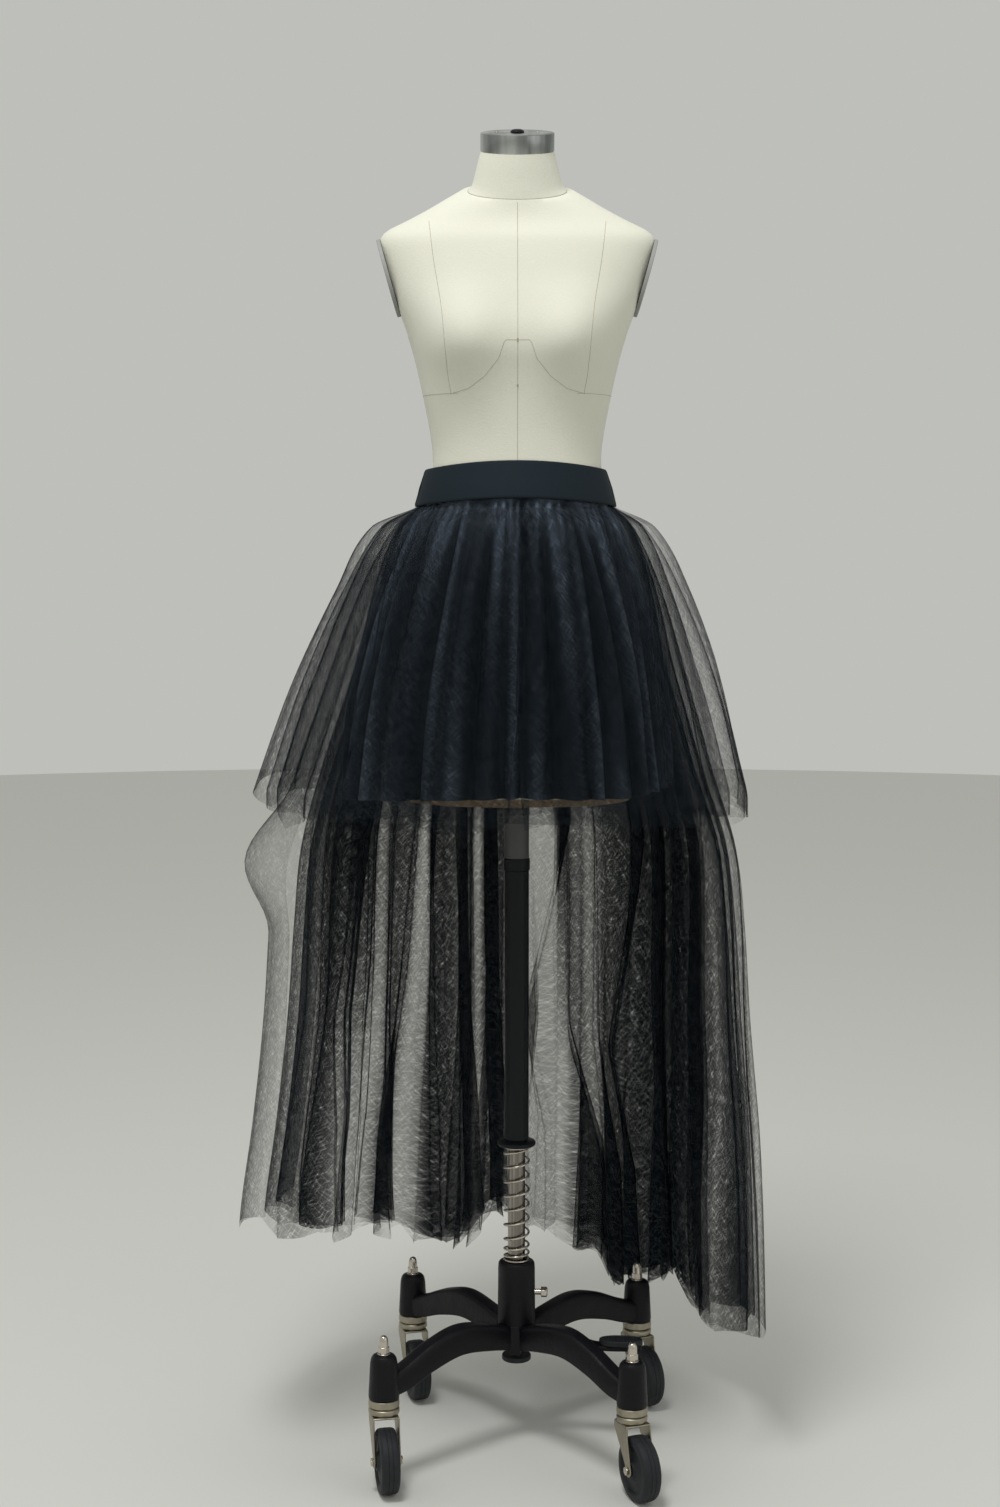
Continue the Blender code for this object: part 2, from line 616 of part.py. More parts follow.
def casting():
    """The base: hub, four legs, four posts and the pedal's lugs, cast in one."""
    bore = INNER_RADIUS + GAP
    hub = turned("base_casting", (
        (HUB_RADIUS - 0.0030, HUB_TOP), (HUB_RADIUS - 0.0012, HUB_TOP - 0.0025),
        (HUB_RADIUS, 0.1700), (HUB_RADIUS - 0.0020, 0.1640), (0.0180, HUB_BOTTOM),
        (0.0046, HUB_BOTTOM), (0.0046, 0.1500), (bore, 0.1500), (bore, HUB_TOP)),
        CAST_IRON, 16, closed=True, parent=BASE)
    for _, side, depth, _ in CASTERS:
        combine(hub, leg((side, depth, 0.0)), 'UNION')
        post = turned("post", (
            (0.0120, POST_TOP), (0.0165, POST_TOP - 0.0015), (0.0182, POST_TOP - 0.0060),
            (0.0205, POST_BOTTOM), (0.0, POST_BOTTOM), (0.0, POST_TOP)),
            CAST_IRON, 12, closed=True, parent=BASE,
            location=(side * CASTER_HALF, depth * CASTER_HALF, 0.0))
        combine(hub, post, 'UNION')
    x, _, z = PEDAL_PIVOT
    for side in (-1, 1):
        lug = box("lug", (0.0300, 0.0050, 0.0150), (x - 0.0080, side * 0.0125, z + 0.0010),
                  CAST_IRON, parent=BASE)
        combine(hub, lug, 'UNION')
    clear = rod("bore_clear", bore, 0.1500, HUB_TOP + 0.02, CAST_IRON, 24, parent=BASE)
    combine(hub, clear, 'DIFFERENCE')
    for _, side, depth, _ in CASTERS:
        hole = rod("stem_hole", STEM_RADIUS + GAP, POST_BOTTOM - 0.01, POST_TOP + 0.01,
                   CAST_IRON, parent=BASE,
                   location=(side * CASTER_HALF, depth * CASTER_HALF, 0.0))
        combine(hub, hole, 'DIFFERENCE')
    pin_hole = rod("pin_hole", 0.0028, -0.03, 0.03, CAST_IRON, parent=BASE,
                   location=PEDAL_PIVOT, rotation=(math.pi / 2, 0.0, 0.0))
    combine(hub, pin_hole, 'DIFFERENCE')
    bolt_hole = rod("bolt_hole", 0.0043, 0.0100, 0.0400, CAST_IRON, parent=BASE,
                    location=(0.0, 0.0, 0.2120), rotation=(0.0, math.pi / 2, 0.0))
    combine(hub, bolt_hole, 'DIFFERENCE')


def hexagon(name, across_flats, bottom, top, material, **placing):
    bm = bmesh.new()
    radius = across_flats / math.sqrt(3)
    bmesh.ops.create_cone(bm, cap_ends=True, segments=6, radius1=radius, radius2=radius,
                          depth=top - bottom)
    bmesh.ops.translate(bm, vec=(0, 0, (top + bottom) / 2), verts=bm.verts)
    return mesh_object(name, bm, material, **placing)


def hub_fittings():
    """Inner tube, its set bolt, and the nut and disc on the hub's underside."""
    tube("pole_inner", INNER_RADIUS, INNER_RADIUS - 0.0020, 0.1500 + GAP, INNER_TOP,
         NICKEL, parent=BASE)
    bolt = hexagon("set_bolt", 0.0130, 0.0340, 0.0430, NICKEL, parent=BASE,
                   location=(0.0, 0.0, 0.2120), rotation=(0.0, math.pi / 2, 0.0))
    shank = rod("set_bolt_shank", 0.0040, INNER_RADIUS + 2 * GAP, 0.0350, NICKEL,
                parent=BASE, location=(0.0, 0.0, 0.2120), rotation=(0.0, math.pi / 2, 0.0))
    combine(bolt, shank, 'UNION')
    nut = hexagon("foot_nut", 0.0130, 0.1235, HUB_BOTTOM - GAP, NICKEL, parent=BASE)
    stud = rod("foot_stud", 0.0042, 0.1150, 0.1450, NICKEL, parent=BASE)
    combine(nut, stud, 'UNION')
    tube("foot_disc", 0.0200, 0.0045, 0.1160, 0.1232, RUBBER, parent=BASE)


def pedal():
    """A lever on a pin in the hub's lugs, with a ribbed rubber pad."""
    pivot = make_empty("pedal_pivot", PEDAL_PIVOT, 0.0, BASE)
    # lever: distance from the pin, bottom, top, half width
    sections = (
        (-0.0060, -0.0055, 0.0055, 0.0085),
        (0.0120, -0.0060, 0.0055, 0.0085),
        (0.0450, -0.0080, 0.0020, 0.0090),
        (0.0760, -0.0140, -0.0070, 0.0105),
        (0.1360, -0.0140, -0.0070, 0.0105),
    )
    rings = [[(distance, side * half, height) for side, height in
              ((-1, low), (1, low), (1, high), (-1, high))]
             for distance, low, high, half in sections]
    lever = loft("pedal_lever", rings, CAST_IRON, parent=pivot)
    eye = rod("eye", 0.0028, -0.03, 0.03, CAST_IRON, parent=pivot,
              rotation=(math.pi / 2, 0.0, 0.0))
    combine(lever, eye, 'DIFFERENCE')
    outline = []
    for i in range(20):
        turn = 2 * math.pi * i / 20
        outline.append((0.1080 + 0.0300 * math.copysign(abs(math.cos(turn)) ** 0.8,
                                                        math.cos(turn)),
                        0.0145 * math.sin(turn)))
    loft("pedal_pad", [[(px, py, height) for px, py in outline]
                       for height in (-0.0070 + GAP, 0.0010)], RUBBER, parent=pivot)
    rod("pedal_pin", 0.0025, -0.0170, 0.0170, NICKEL, parent=BASE, location=PEDAL_PIVOT,
        rotation=(math.pi / 2, 0.0, 0.0))


def fork_mesh():
    """A bent plate: crown, top and two cheeks that narrow to the axle."""
    inside = WHEEL_WIDTH / 2 + 0.0030
    outside = inside + FORK_PLATE
    axle = WHEEL_RADIUS
    bm = bmesh.new()
    channel = ((-outside, axle - 0.014), (-inside, axle - 0.014),
               (-inside, FORK_TOP - FORK_PLATE), (inside, FORK_TOP - FORK_PLATE),
               (inside, axle - 0.014), (outside, axle - 0.014),
               (outside, FORK_TOP), (-outside, FORK_TOP))
    near = [bm.verts.new((x, -0.08, z)) for x, z in channel]
    far = [bm.verts.new((x, 0.08, z)) for x, z in channel]
    for i in range(len(channel)):
        j = (i + 1) % len(channel)
        bm.faces.new((near[i], near[j], far[j], far[i]))
    bm.faces.new(list(reversed(near)))
    bm.faces.new(far)
    bmesh.ops.recalc_face_normals(bm, faces=bm.faces)
    fork = mesh_object("fork", bm, ZINC, parent=None)
    # the cheek's outline, seen from the side
    cheek = [(0.0170, FORK_TOP + 0.001), (0.0170, FORK_TOP - 0.010)]
    for i in range(6):
        turn = math.radians(30 - 44.0 * i)
        cheek.append((-CASTER_TRAIL + 0.0085 * math.cos(turn), axle + 0.0085 * math.sin(turn)))
    cheek += [(-0.0210, FORK_TOP - 0.012), (-0.0210, FORK_TOP + 0.001)]
    side = loft("cheek_outline", [[(x, y, z) for y, z in cheek] for x in (-0.03, 0.03)],
                ZINC, parent=None)
    combine(fork, side, 'INTERSECT')
    crown = turned("crown", ((0.0195, 0.1077), (0.0205, 0.1060), (0.0205, FORK_TOP - 0.001),
                             (0.0049, FORK_TOP - 0.001), (0.0049, 0.1077)),
                   ZINC, 12, closed=True, parent=None)
    combine(fork, crown, 'UNION')
    stem_hole = rod("stem_clear", 0.0049, 0.05, 0.12, ZINC, parent=None)
    combine(fork, stem_hole, 'DIFFERENCE')
    axle_hole = rod("axle_clear", 0.0043, -0.03, 0.03, ZINC, parent=None,
                    location=(0.0, -CASTER_TRAIL, axle), rotation=(0.0, math.pi / 2, 0.0))
    combine(fork, axle_hole, 'DIFFERENCE')
    bpy.context.view_layer.update()
    graph = bpy.context.evaluated_depsgraph_get()
    mesh = bpy.data.meshes.new_from_object(fork.evaluated_get(graph))
    bpy.data.objects.remove(fork, do_unlink=True)
    return mesh


def wheel_mesh():
    """A solid rubber tread on a dished disc, bored for the axle."""
    half = WHEEL_WIDTH / 2
    profile = ((WHEEL_RADIUS - 0.0035, half), (WHEEL_RADIUS, half - 0.0040),
               (WHEEL_RADIUS, -half + 0.0040), (WHEEL_RADIUS - 0.0035, -half),
               (0.0320, -half), (0.0300, -half + 0.0040),
               (0.0120, -half - 0.0020), (0.0046, -half - 0.0020),
               (0.0046, half + 0.0020), (0.0120, half + 0.0020),
               (0.0300, half - 0.0040), (0.0320, half))
    wheel = turned("wheel", profile, RUBBER, WHEEL_SEGMENTS, closed=True, parent=None)
    bpy.context.view_layer.update()
    graph = bpy.context.evaluated_depsgraph_get()
    mesh = bpy.data.meshes.new_from_object(wheel.evaluated_get(graph))
    bpy.data.objects.remove(wheel, do_unlink=True)
    # a flat of the tread faces the floor, and the axis lies along X
    mesh.transform(Matrix.Rotation(math.pi / WHEEL_SEGMENTS, 4, 'Z'))
    mesh.transform(Matrix.Rotation(math.pi / 2, 4, 'Y'))
    flat = WHEEL_RADIUS * math.cos(math.pi / WHEEL_SEGMENTS)
    mesh.transform(Matrix.Diagonal((1.0, WHEEL_RADIUS / flat, WHEEL_RADIUS / flat, 1.0)))
    return mesh


def casters():
    forks = fork_mesh()
    wheels = wheel_mesh()
    for name, side, depth, swivel in CASTERS:
        place = (side * CASTER_HALF, depth * CASTER_HALF, 0.0)
        race = turned("caster_race_" + name, (
            (0.0200, POST_BOTTOM - GAP), (0.0205, 0.1080), (0.0, 0.1080),
            (0.0, POST_BOTTOM - GAP)),
            ZINC, 12, closed=True, parent=BASE, location=place)
        stem = rod("stem", STEM_RADIUS, 0.0990, POST_TOP + 0.0080, ZINC, parent=BASE,
                   location=place)
        combine(race, stem, 'UNION')
        nut = hexagon("acorn_nut_" + name, 0.0130, POST_TOP + GAP, POST_TOP + 0.0110,
                      NICKEL, parent=BASE, location=place)
        dome = turned("dome", ((0.0, 0.0255), (0.0030, 0.0248), (0.0052, 0.0220),
                               (0.0062, 0.0180), (0.0062, 0.0090), (0.0, 0.0090)),
                      NICKEL, 8, parent=BASE, location=(place[0], place[1], POST_TOP))
        combine(nut, dome, 'UNION')
        thread = rod("thread", STEM_RADIUS + GAP, -0.02, 0.0083, NICKEL, parent=BASE,
                     location=(place[0], place[1], POST_TOP))
        combine(nut, thread, 'DIFFERENCE')
        swivel_axis = make_empty("swivel_" + name, place, math.radians(swivel), BASE)
        fork = add_object("caster_fork_" + name, forks, ZINC, parent=swivel_axis)
        fork.location = (0.0, 0.0, 0.0)
        centre = (0.0, -CASTER_TRAIL, WHEEL_RADIUS)
        rod("caster_axle_" + name, 0.0040, -0.0215, 0.0215, NICKEL, parent=swivel_axis,
            location=centre, rotation=(0.0, math.pi / 2, 0.0))
        add_object("caster_wheel_" + name, wheels, RUBBER, parent=swivel_axis,
                   location=centre)


waistband()
lining()
short_tulle()
long_tulle()
torso()
arm_plates()
form_ends()
mast()
spring()
casting()
hub_fittings()
pedal()
casters()
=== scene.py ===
"""Black high-low tulle skirt on a limbless dress form with a wheeled cast stand."""
import math
import random

import bmesh
import bpy
import numpy as np
from mathutils import Matrix, Vector
from mathutils.bvhtree import BVHTree


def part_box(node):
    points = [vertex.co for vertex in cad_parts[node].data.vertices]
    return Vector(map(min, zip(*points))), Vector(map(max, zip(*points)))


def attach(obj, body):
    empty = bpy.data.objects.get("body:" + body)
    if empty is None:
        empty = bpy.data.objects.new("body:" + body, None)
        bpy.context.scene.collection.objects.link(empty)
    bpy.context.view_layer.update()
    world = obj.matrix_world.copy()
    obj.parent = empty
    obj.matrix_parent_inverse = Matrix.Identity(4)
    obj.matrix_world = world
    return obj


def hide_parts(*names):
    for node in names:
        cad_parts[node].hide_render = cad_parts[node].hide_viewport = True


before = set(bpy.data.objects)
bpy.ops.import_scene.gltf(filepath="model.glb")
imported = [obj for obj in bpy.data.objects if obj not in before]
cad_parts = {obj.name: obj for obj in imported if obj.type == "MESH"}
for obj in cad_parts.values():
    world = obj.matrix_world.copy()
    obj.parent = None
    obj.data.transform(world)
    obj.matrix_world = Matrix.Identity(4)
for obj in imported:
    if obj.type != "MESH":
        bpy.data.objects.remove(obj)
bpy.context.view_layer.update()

# ---- the view -------------------------------------------------------------------
# A lens at chest height, straight in front of the form and tipped a little down.

IMAGE_HEIGHT = 1507
FOCAL_PIXELS = 2262
HORIZON_PIXELS = 219.5            # from the middle of the view up to the horizon
CAMERA_HEIGHT = 1.25
CAMERA_DISTANCE = 3.03
CAMERA_ASIDE = -0.0227            # left of the pole
scene = bpy.context.scene


def middle(node):
    """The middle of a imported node's box."""
    low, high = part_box(node)
    return (low + high) / 2


def add(name, data):
    """A new object in the scene."""
    thing = bpy.data.objects.new(name, data)
    scene.collection.objects.link(thing)
    return thing


POLE = middle("pole_inner")
camera = add("camera", bpy.data.cameras.new("camera"))
camera.location = (POLE.x + CAMERA_ASIDE, POLE.y - CAMERA_DISTANCE, CAMERA_HEIGHT)
camera.rotation_euler = (math.pi / 2 - math.atan(HORIZON_PIXELS / FOCAL_PIXELS), 0.0, 0.0)
camera.data.sensor_width = 36.0
camera.data.lens = camera.data.sensor_width * FOCAL_PIXELS / IMAGE_HEIGHT
scene.camera = camera
scene.view_settings.view_transform = 'Standard'
scene.cycles.transparent_max_bounces = 64
scene.cycles.max_bounces = 5
scene.cycles.diffuse_bounces = 2

# ---- cast base --------------------------------------------------------------------
# A grey iron casting: hub, four arched legs, four caster posts and the pedal's lugs,
# cast in one and dipped in black enamel, which fills the sand's grain to soft swells.


def operator(operation, reflected=False):
    """Arithmetic on a socket, as a Math node of that operation."""
    def act(self, other):
        return self.math(operation, *((other, self) if reflected else (self, other)))
    return act


class Socket:
    """One output of a finish's nodes; arithmetic on it adds Math nodes."""

    def __init__(self, finish, output):
        self.finish = finish
        self.output = output

    def math(self, operation, first, second):
        return self.finish.node("Math", {"operation": operation}, (first, second))

    __add__ = __radd__ = operator('ADD')
    __sub__ = operator('SUBTRACT')
    __rsub__ = operator('SUBTRACT', reflected=True)
    __mul__ = __rmul__ = operator('MULTIPLY')
    __truediv__ = operator('DIVIDE')
    __pow__ = operator('POWER')
    __rpow__ = operator('POWER', reflected=True)

    def within(self, low, high):
        above = self.math('MAXIMUM', self, low)
        return self.math('MINIMUM', above, high)


class Finish:
    """A material in the making: its slot, its shader's own values, then its nodes."""

    def __init__(self, name, slot, colour, roughness, metallic=0.0, **fixed):
        self.slot = slot
        self.material = bpy.data.materials.new(name)
        self.material.use_nodes = True
        self.nodes = self.material.node_tree.nodes
        self.links = self.material.node_tree.links
        self.inputs = self.nodes["Principled BSDF"].inputs
        self.set(Base_Color=(*colour, 1.0), Roughness=roughness, Metallic=metallic, **fixed)

    def feed(self, target, value):
        if isinstance(value, Socket):
            self.links.new(value.output, target)
        else:
            target.default_value = value

    def set(self, **inputs):
        for key, value in inputs.items():
            self.feed(self.inputs[key.replace("_", " ")], value)

    def node(self, kind, settings=(), values=(), out=0, **inputs):
        """A node of a kind: its settings, then its inputs in order or by name."""
        node = self.nodes.new("ShaderNode" + kind)
        for key, value in dict(settings).items():
            setattr(node, key, value)
        for target, value in zip(node.inputs, values):
            self.feed(target, value)
        for key, value in inputs.items():
            self.feed(node.inputs[key.replace("_", " ")], value)
        return Socket(self, node.outputs[out])

    def noise(self, scale, detail=2.0, stretch=(1.0, 1.0, 1.0), place=None):
        """Noise over where a point lies in metres, or over another vector, stretched."""
        if place is None:
            place = self.node("TexCoord", out=3)
        vector = self.node("VectorMath", {"operation": 'MULTIPLY'}, (place, stretch))
        return self.node("TexNoise", Vector=vector, Scale=scale, Detail=detail)

    def mix(self, factor, first, second):
        """A colour between two others."""
        node = self.nodes.new("ShaderNodeMix")
        node.data_type = 'RGBA'
        self.feed(node.inputs[0], factor)
        for target, value in ((node.inputs[6], first), (node.inputs[7], second)):
            self.feed(target, (*value, 1.0))
        return Socket(self, node.outputs[2])

    def shade(self, factor, first, second):
        self.set(Base_Color=self.mix(factor, first, second))

    def bump(self, height, distance):
        self.set(Normal=self.node("Bump", Height=height, Distance=distance))


def at(x, y, z):
    return Matrix.Translation((x, y, z))


def turned(degrees, axis):
    return Matrix.Rotation(math.radians(degrees), 4, axis)


def oval(across, deep, count):
    """Points round an oval."""
    turns = [2 * math.pi * step / count for step in range(count)]
    return [(across * math.cos(turn), deep * math.sin(turn)) for turn in turns]


def hand_over(thing, body, nodes):
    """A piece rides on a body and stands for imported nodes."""
    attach(thing, body)
    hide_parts(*nodes)
    return thing


def smooth(table, keys):
    """A table's columns at any keys of its first one, eased between its rows."""
    rows = np.array(sorted(table), float)
    stops = rows[:, 0]
    keys = np.clip(np.asarray(keys, float), stops[0], stops[-1])
    low = np.clip(np.searchsorted(stops, keys, side='right') - 1, 0, len(stops) - 2)
    index = np.arange(len(stops))
    ahead = np.minimum(index + 1, len(stops) - 1)
    behind = np.maximum(index - 1, 0)
    rise = (rows[ahead] - rows[behind]) / (stops[ahead] - stops[behind])[:, None]
    span = (stops[low + 1] - stops[low])[..., None]
    t = (keys - stops[low])[..., None] / span
    eased = ((2 * t ** 3 - 3 * t ** 2 + 1) * rows[low] + (t ** 3 - 2 * t ** 2 + t) * rise[low] * span
             + (3 * t ** 2 - 2 * t ** 3) * rows[low + 1] + (t ** 3 - t ** 2) * rise[low + 1] * span)
    return np.moveaxis(eased, -1, 0)[1:]


class Stock:
    """Points and faces of one piece in the making."""

    def __init__(self):
        self.points = []
        self.faces = []

    def rings(self, rings, looped=False):
        """Walls through rings of equal count, with flat ends unless looped."""
        start = len(self.points)
        rows = len(rings)
        count = len(rings[0])
        for ring in rings:
            self.points.extend(ring)
        for row in range(rows if looped else rows - 1):
            low = start + row * count
            high = start + (row + 1) % rows * count
            for i in range(count):
                j = (i + 1) % count
                self.faces.append((low + i, low + j, high + j, high + i))
        if not looped:
            self.faces.append(tuple(range(start + count - 1, start - 1, -1)))
            self.faces.append(tuple(range(start + (rows - 1) * count, start + rows * count)))
        return self

    def lathe(self, profile, matrix, segments=64):
        """A closed profile (radius, height) turned about Z, then placed."""
        return self.rings([[matrix @ Vector((radius * x, radius * y, z)) for radius, z in profile]
                           for x, y in oval(1.0, 1.0, segments)], looped=True)

    def slab(self, outline, low, high, matrix):
        """A flat outline given a thickness along Z, then placed."""
        return self.rings([[matrix @ Vector((x, y, z)) for x, y in outline] for z in (low, high)])

    def bar(self, sections, count, outline, matrix):
        """A bar along X whose outline follows a table of sections, then placed."""
        distances = np.linspace(sections[0][0], sections[-1][0], count)
        return self.rings([[matrix @ Vector((distance, y, z)) for y, z in outline(*section)]
                           for distance, *section in zip(distances, *smooth(sections, distances))])

    def pipe(self, path, radius, sides=8, looped=False):
        """A round bar along a path."""
        rings = []
        side = Vector((0.31, 0.57, 0.76))
        last = len(path) - 1
        for i, point in enumerate(path):
            before = path[i - 1] if looped else path[max(i - 1, 0)]
            after = path[(i + 1) % len(path)] if looped else path[min(i + 1, last)]
            along = (after - before).normalized()
            side = (side - along * side.dot(along)).normalized()
            up = along.cross(side)
            rings.append([point + (side * x + up * y) * radius for x, y in oval(1.0, 1.0, sides)])
        return self.rings(rings, looped)

    def piece(self, name, finish, body, *nodes, bevel=0.0, edge=35.0):
        """The finished piece, rounded at edges sharper than a number of degrees."""
        mesh = bpy.data.meshes.new(name)
        mesh.from_pydata(self.points, [], self.faces)
        bm = bmesh.new()
        bm.from_mesh(mesh)
        bmesh.ops.remove_doubles(bm, verts=bm.verts, dist=0.000002)
        bmesh.ops.recalc_face_normals(bm, faces=bm.faces)
        bm.to_mesh(mesh)
        bm.free()
        mesh.shade_smooth()
        mesh.set_sharp_from_angle(angle=math.radians(edge))
        mesh.materials.append(finish.material)
        thing = add(name, mesh)
        if bevel:
            rounding = thing.modifiers.new("rounding", 'BEVEL')
            rounding.width = bevel
            rounding.segments = 2
            rounding.limit_method = 'ANGLE'
            rounding.angle_limit = math.radians(edge)
        return hand_over(thing, body, nodes)


STAND = at(POLE.x, POLE.y, 0.0)
BASE_ASKEW = -4.55                # degrees
BASE = STAND @ turned(BASE_ASKEW, 'Z')

enamel = Finish("black enamel on cast iron", "cast_iron_enamel", (0.004, 0.004, 0.006), 0.4,
                Specular_IOR_Level=0.2)
grit = enamel.noise(420.0, 4.0)
swells = enamel.noise(45.0)
enamel.set(Roughness=0.3 + 0.25 * swells)
enamel.bump(grit + 1.5 * swells, 0.0006)

GAP = 0.0003                      # between pieces that lie against each other
HUB_TOP = 0.256
HUB_BOTTOM = 0.132
INNER_RADIUS = 0.0118
CASTER_HALF = 0.163
POST_BOTTOM = 0.119
POST_TOP = 0.178
PEDAL_PIVOT = (0.036, 0.0, 0.148)
LUG_ASIDE = 0.0125
# leg section: distance from the pole, bottom, top, half width
LEG_SECTIONS = (
    (0.010, 0.1330, 0.1650, 0.0140),
    (0.055, 0.1430, 0.1790, 0.0132),
    (0.105, 0.1490, 0.1870, 0.0130),
    (0.155, 0.1390, 0.1755, 0.0130),
    (0.195, 0.1250, 0.1580, 0.0134),
    (0.222, 0.1210, 0.1480, 0.0138),
)
casting = Stock().lathe((
    (INNER_RADIUS + GAP, HUB_TOP - 0.0008), (0.02, HUB_TOP), (0.0232, 0.255),
    (0.0248, 0.2525), (0.0253, 0.246), (0.0258, 0.172), (0.0248, 0.166), (0.0218, 0.16),
    (0.0192, 0.144), (0.018, 0.1335), (0.0165, HUB_BOTTOM), (0.0046, HUB_BOTTOM),
    (0.0046, 0.15), (INNER_RADIUS + GAP, 0.15)), BASE)


def leg_outline(bottom, top, half):
    """Round a leg's section: small radii below, larger ones above."""
    side = ((half - 0.0025, bottom), (half - 0.0007, bottom + 0.001), (half, bottom + 0.0035),
            (half, top - 0.0062), (half - 0.0008, top - 0.004), (half - 0.0036, top - 0.0008),
            (half - 0.0056, top))
    return side + tuple((-y, z) for y, z in reversed(side))


for turn in (45, 135, 225, 315):
    casting.bar(LEG_SECTIONS, 30, leg_outline, BASE @ turned(turn, 'Z'))
lug = ((-0.023, -0.0065), (0.0, -0.007), (0.0052, -0.0048), (0.0072, 0.0),
       (0.0052, 0.0052), (0.0, 0.0078), (-0.023, 0.0085))
for across in (-1, 1):
    for depth in (-1, 1):
        casting.lathe((
            (0.0048, POST_TOP), (0.0105, POST_TOP), (0.0142, POST_TOP - 0.0012),
            (0.0166, POST_TOP - 0.0045), (0.018, POST_TOP - 0.011), (0.0204, 0.1225),
            (0.02, POST_BOTTOM + 0.0006), (0.019, POST_BOTTOM), (0.0048, POST_BOTTOM)),
            BASE @ at(across * CASTER_HALF, depth * CASTER_HALF, 0.0))
    casting.slab(lug, -0.0025, 0.0025, BASE @ at(
        PEDAL_PIVOT[0], across * LUG_ASIDE, PEDAL_PIVOT[2]) @ turned(90, 'X'))
web = ((-0.0075, 0.13), (0.0075, 0.13), (0.006, 0.17), (-0.006, 0.17))
casting.slab(web, 0.014, 0.0262, BASE @ turned(90, 'X'))
casting.piece("cast_base", enamel, "base", "base_casting", bevel=0.0007)

# ---- hub fittings -----------------------------------------------------------------
# The nickel-plated tube stands in the hub, held by a hexagon set bolt.  A nut and a
# rubber disc close the hub's foot, and a helix of spring wire cushions the mast.

nickel = Finish("nickel plate", "nickel", (0.56, 0.51, 0.45), 0.22, 1.0)
drawn = nickel.noise(1.0, stretch=(500.0, 500.0, 12.0))
nickel.set(Roughness=0.16 + 0.16 * drawn)
nickel.bump(drawn, 0.00005)
tube_nickel = Finish("drawn nickel tube", "nickel", (0.3, 0.27, 0.24), 0.28, 1.0)
draw_marks_and_painted_reflections = tube_nickel.noise(1.0, 3.0, (190.0, 190.0, 1.5))
# painted reflections: dark and bright bands along the tube's colour stand in for what the plate
# would mirror; the same streaks also set its roughness and bump as drawing marks
painted_reflection_bands = ((draw_marks_and_painted_reflections - 0.5) * 3.0 + 0.5).within(0.0, 1.0)
tube_nickel.shade(painted_reflection_bands, (0.11, 0.1, 0.09), (0.42, 0.38, 0.34))
tube_nickel.set(Roughness=0.2 + 0.15 * draw_marks_and_painted_reflections)
tube_nickel.bump(draw_marks_and_painted_reflections, 0.00005)
rubber = Finish("black rubber", "black_rubber", (0.01, 0.011, 0.013), 0.6, Specular_IOR_Level=0.3)
dust = rubber.noise(130.0, 4.0)
rubber.shade(dust, (0.006, 0.007, 0.009), (0.024, 0.026, 0.03))
rubber.set(Roughness=0.45 + 0.3 * dust)
rubber.bump(rubber.noise(900.0), 0.0002)


def hexagon(across_flats):
    radius = across_flats / math.sqrt(3)
    return oval(radius, radius, 6)


NUT_FLATS = 0.013
INNER_TOP = 0.76
INNER_BORE = INNER_RADIUS - 0.002
INNER_FOOT = 0.15 + GAP           # the tube stops on the ledge in the hub's bore
Stock().lathe(((INNER_RADIUS, INNER_TOP), (INNER_RADIUS, INNER_FOOT), (INNER_BORE, INNER_FOOT),
               (INNER_BORE, INNER_TOP)), BASE).piece(
    "inner_tube", tube_nickel, "base", "pole_inner", bevel=0.0003)
BOLT_HEIGHT = 0.212
bolt_axis = BASE @ at(0.0, 0.0, BOLT_HEIGHT) @ turned(90, 'Y')
set_bolt = Stock().slab(hexagon(NUT_FLATS), 0.034, 0.0418, bolt_axis)
set_bolt.lathe(((0.0, 0.0429), (0.005, 0.0429), (0.0062, 0.0416), (0.0, 0.0416)), bolt_axis)
set_bolt.lathe(((0.0, 0.035), (0.004, 0.035), (0.004, 0.0126), (0.0, 0.0126)), bolt_axis)
set_bolt.piece("hexagon_set_bolt", nickel, "base", "set_bolt", bevel=0.0006)
foot = Stock().slab(hexagon(NUT_FLATS), 0.1235, HUB_BOTTOM - GAP, BASE)
foot.lathe(((0.0, 0.145), (0.0042, 0.145), (0.0042, 0.1158), (0.0034, 0.115), (0.0, 0.115)),
           BASE, 32)
foot.piece("foot_nut_and_stud", nickel, "base", "foot_nut", bevel=0.0006)
Stock().lathe(((0.0192, 0.1232), (0.02, 0.1222), (0.02, 0.117), (0.019, 0.116),
               (0.0045, 0.116), (0.0045, 0.1232)), BASE).piece(
    "rubber_foot_disc", rubber, "base", "foot_disc", bevel=0.0003)
SPRING_WIRE = 0.0016
SPRING_RADIUS = 0.0166
SPRING_TURNS = 11
SPRING_STEPS = 28                 # in each turn
SPRING_LOW = HUB_TOP + 0.0019
SPRING_HIGH = 0.4161
# share of the turns, share of the height: both end turns lie flat, closed up below
SPRING_RISE = ((0.0, 0.0), (0.09, 0.0), (0.2, 0.07), (0.3, 0.15), (0.91, 1.0), (1.0, 1.0))
coil = []
for step in range(SPRING_TURNS * SPRING_STEPS + 1):
    rise = np.interp(step / (SPRING_TURNS * SPRING_STEPS), *zip(*SPRING_RISE))
    turn = 2 * math.pi * step / SPRING_STEPS
    coil.append(BASE @ Vector((SPRING_RADIUS * math.cos(turn), SPRING_RADIUS * math.sin(turn),
                               SPRING_LOW + (SPRING_HIGH - SPRING_LOW) * rise)))
Stock().pipe(coil, SPRING_WIRE, 10).piece("coil_spring", nickel, "base", "spring")

# ---- mast -------------------------------------------------------------------------
# A steel tube in gloss black paint that slides on the nickel tube: a flange at its
# foot, a collar below the form and a greyer socket let into the form's bottom plate.

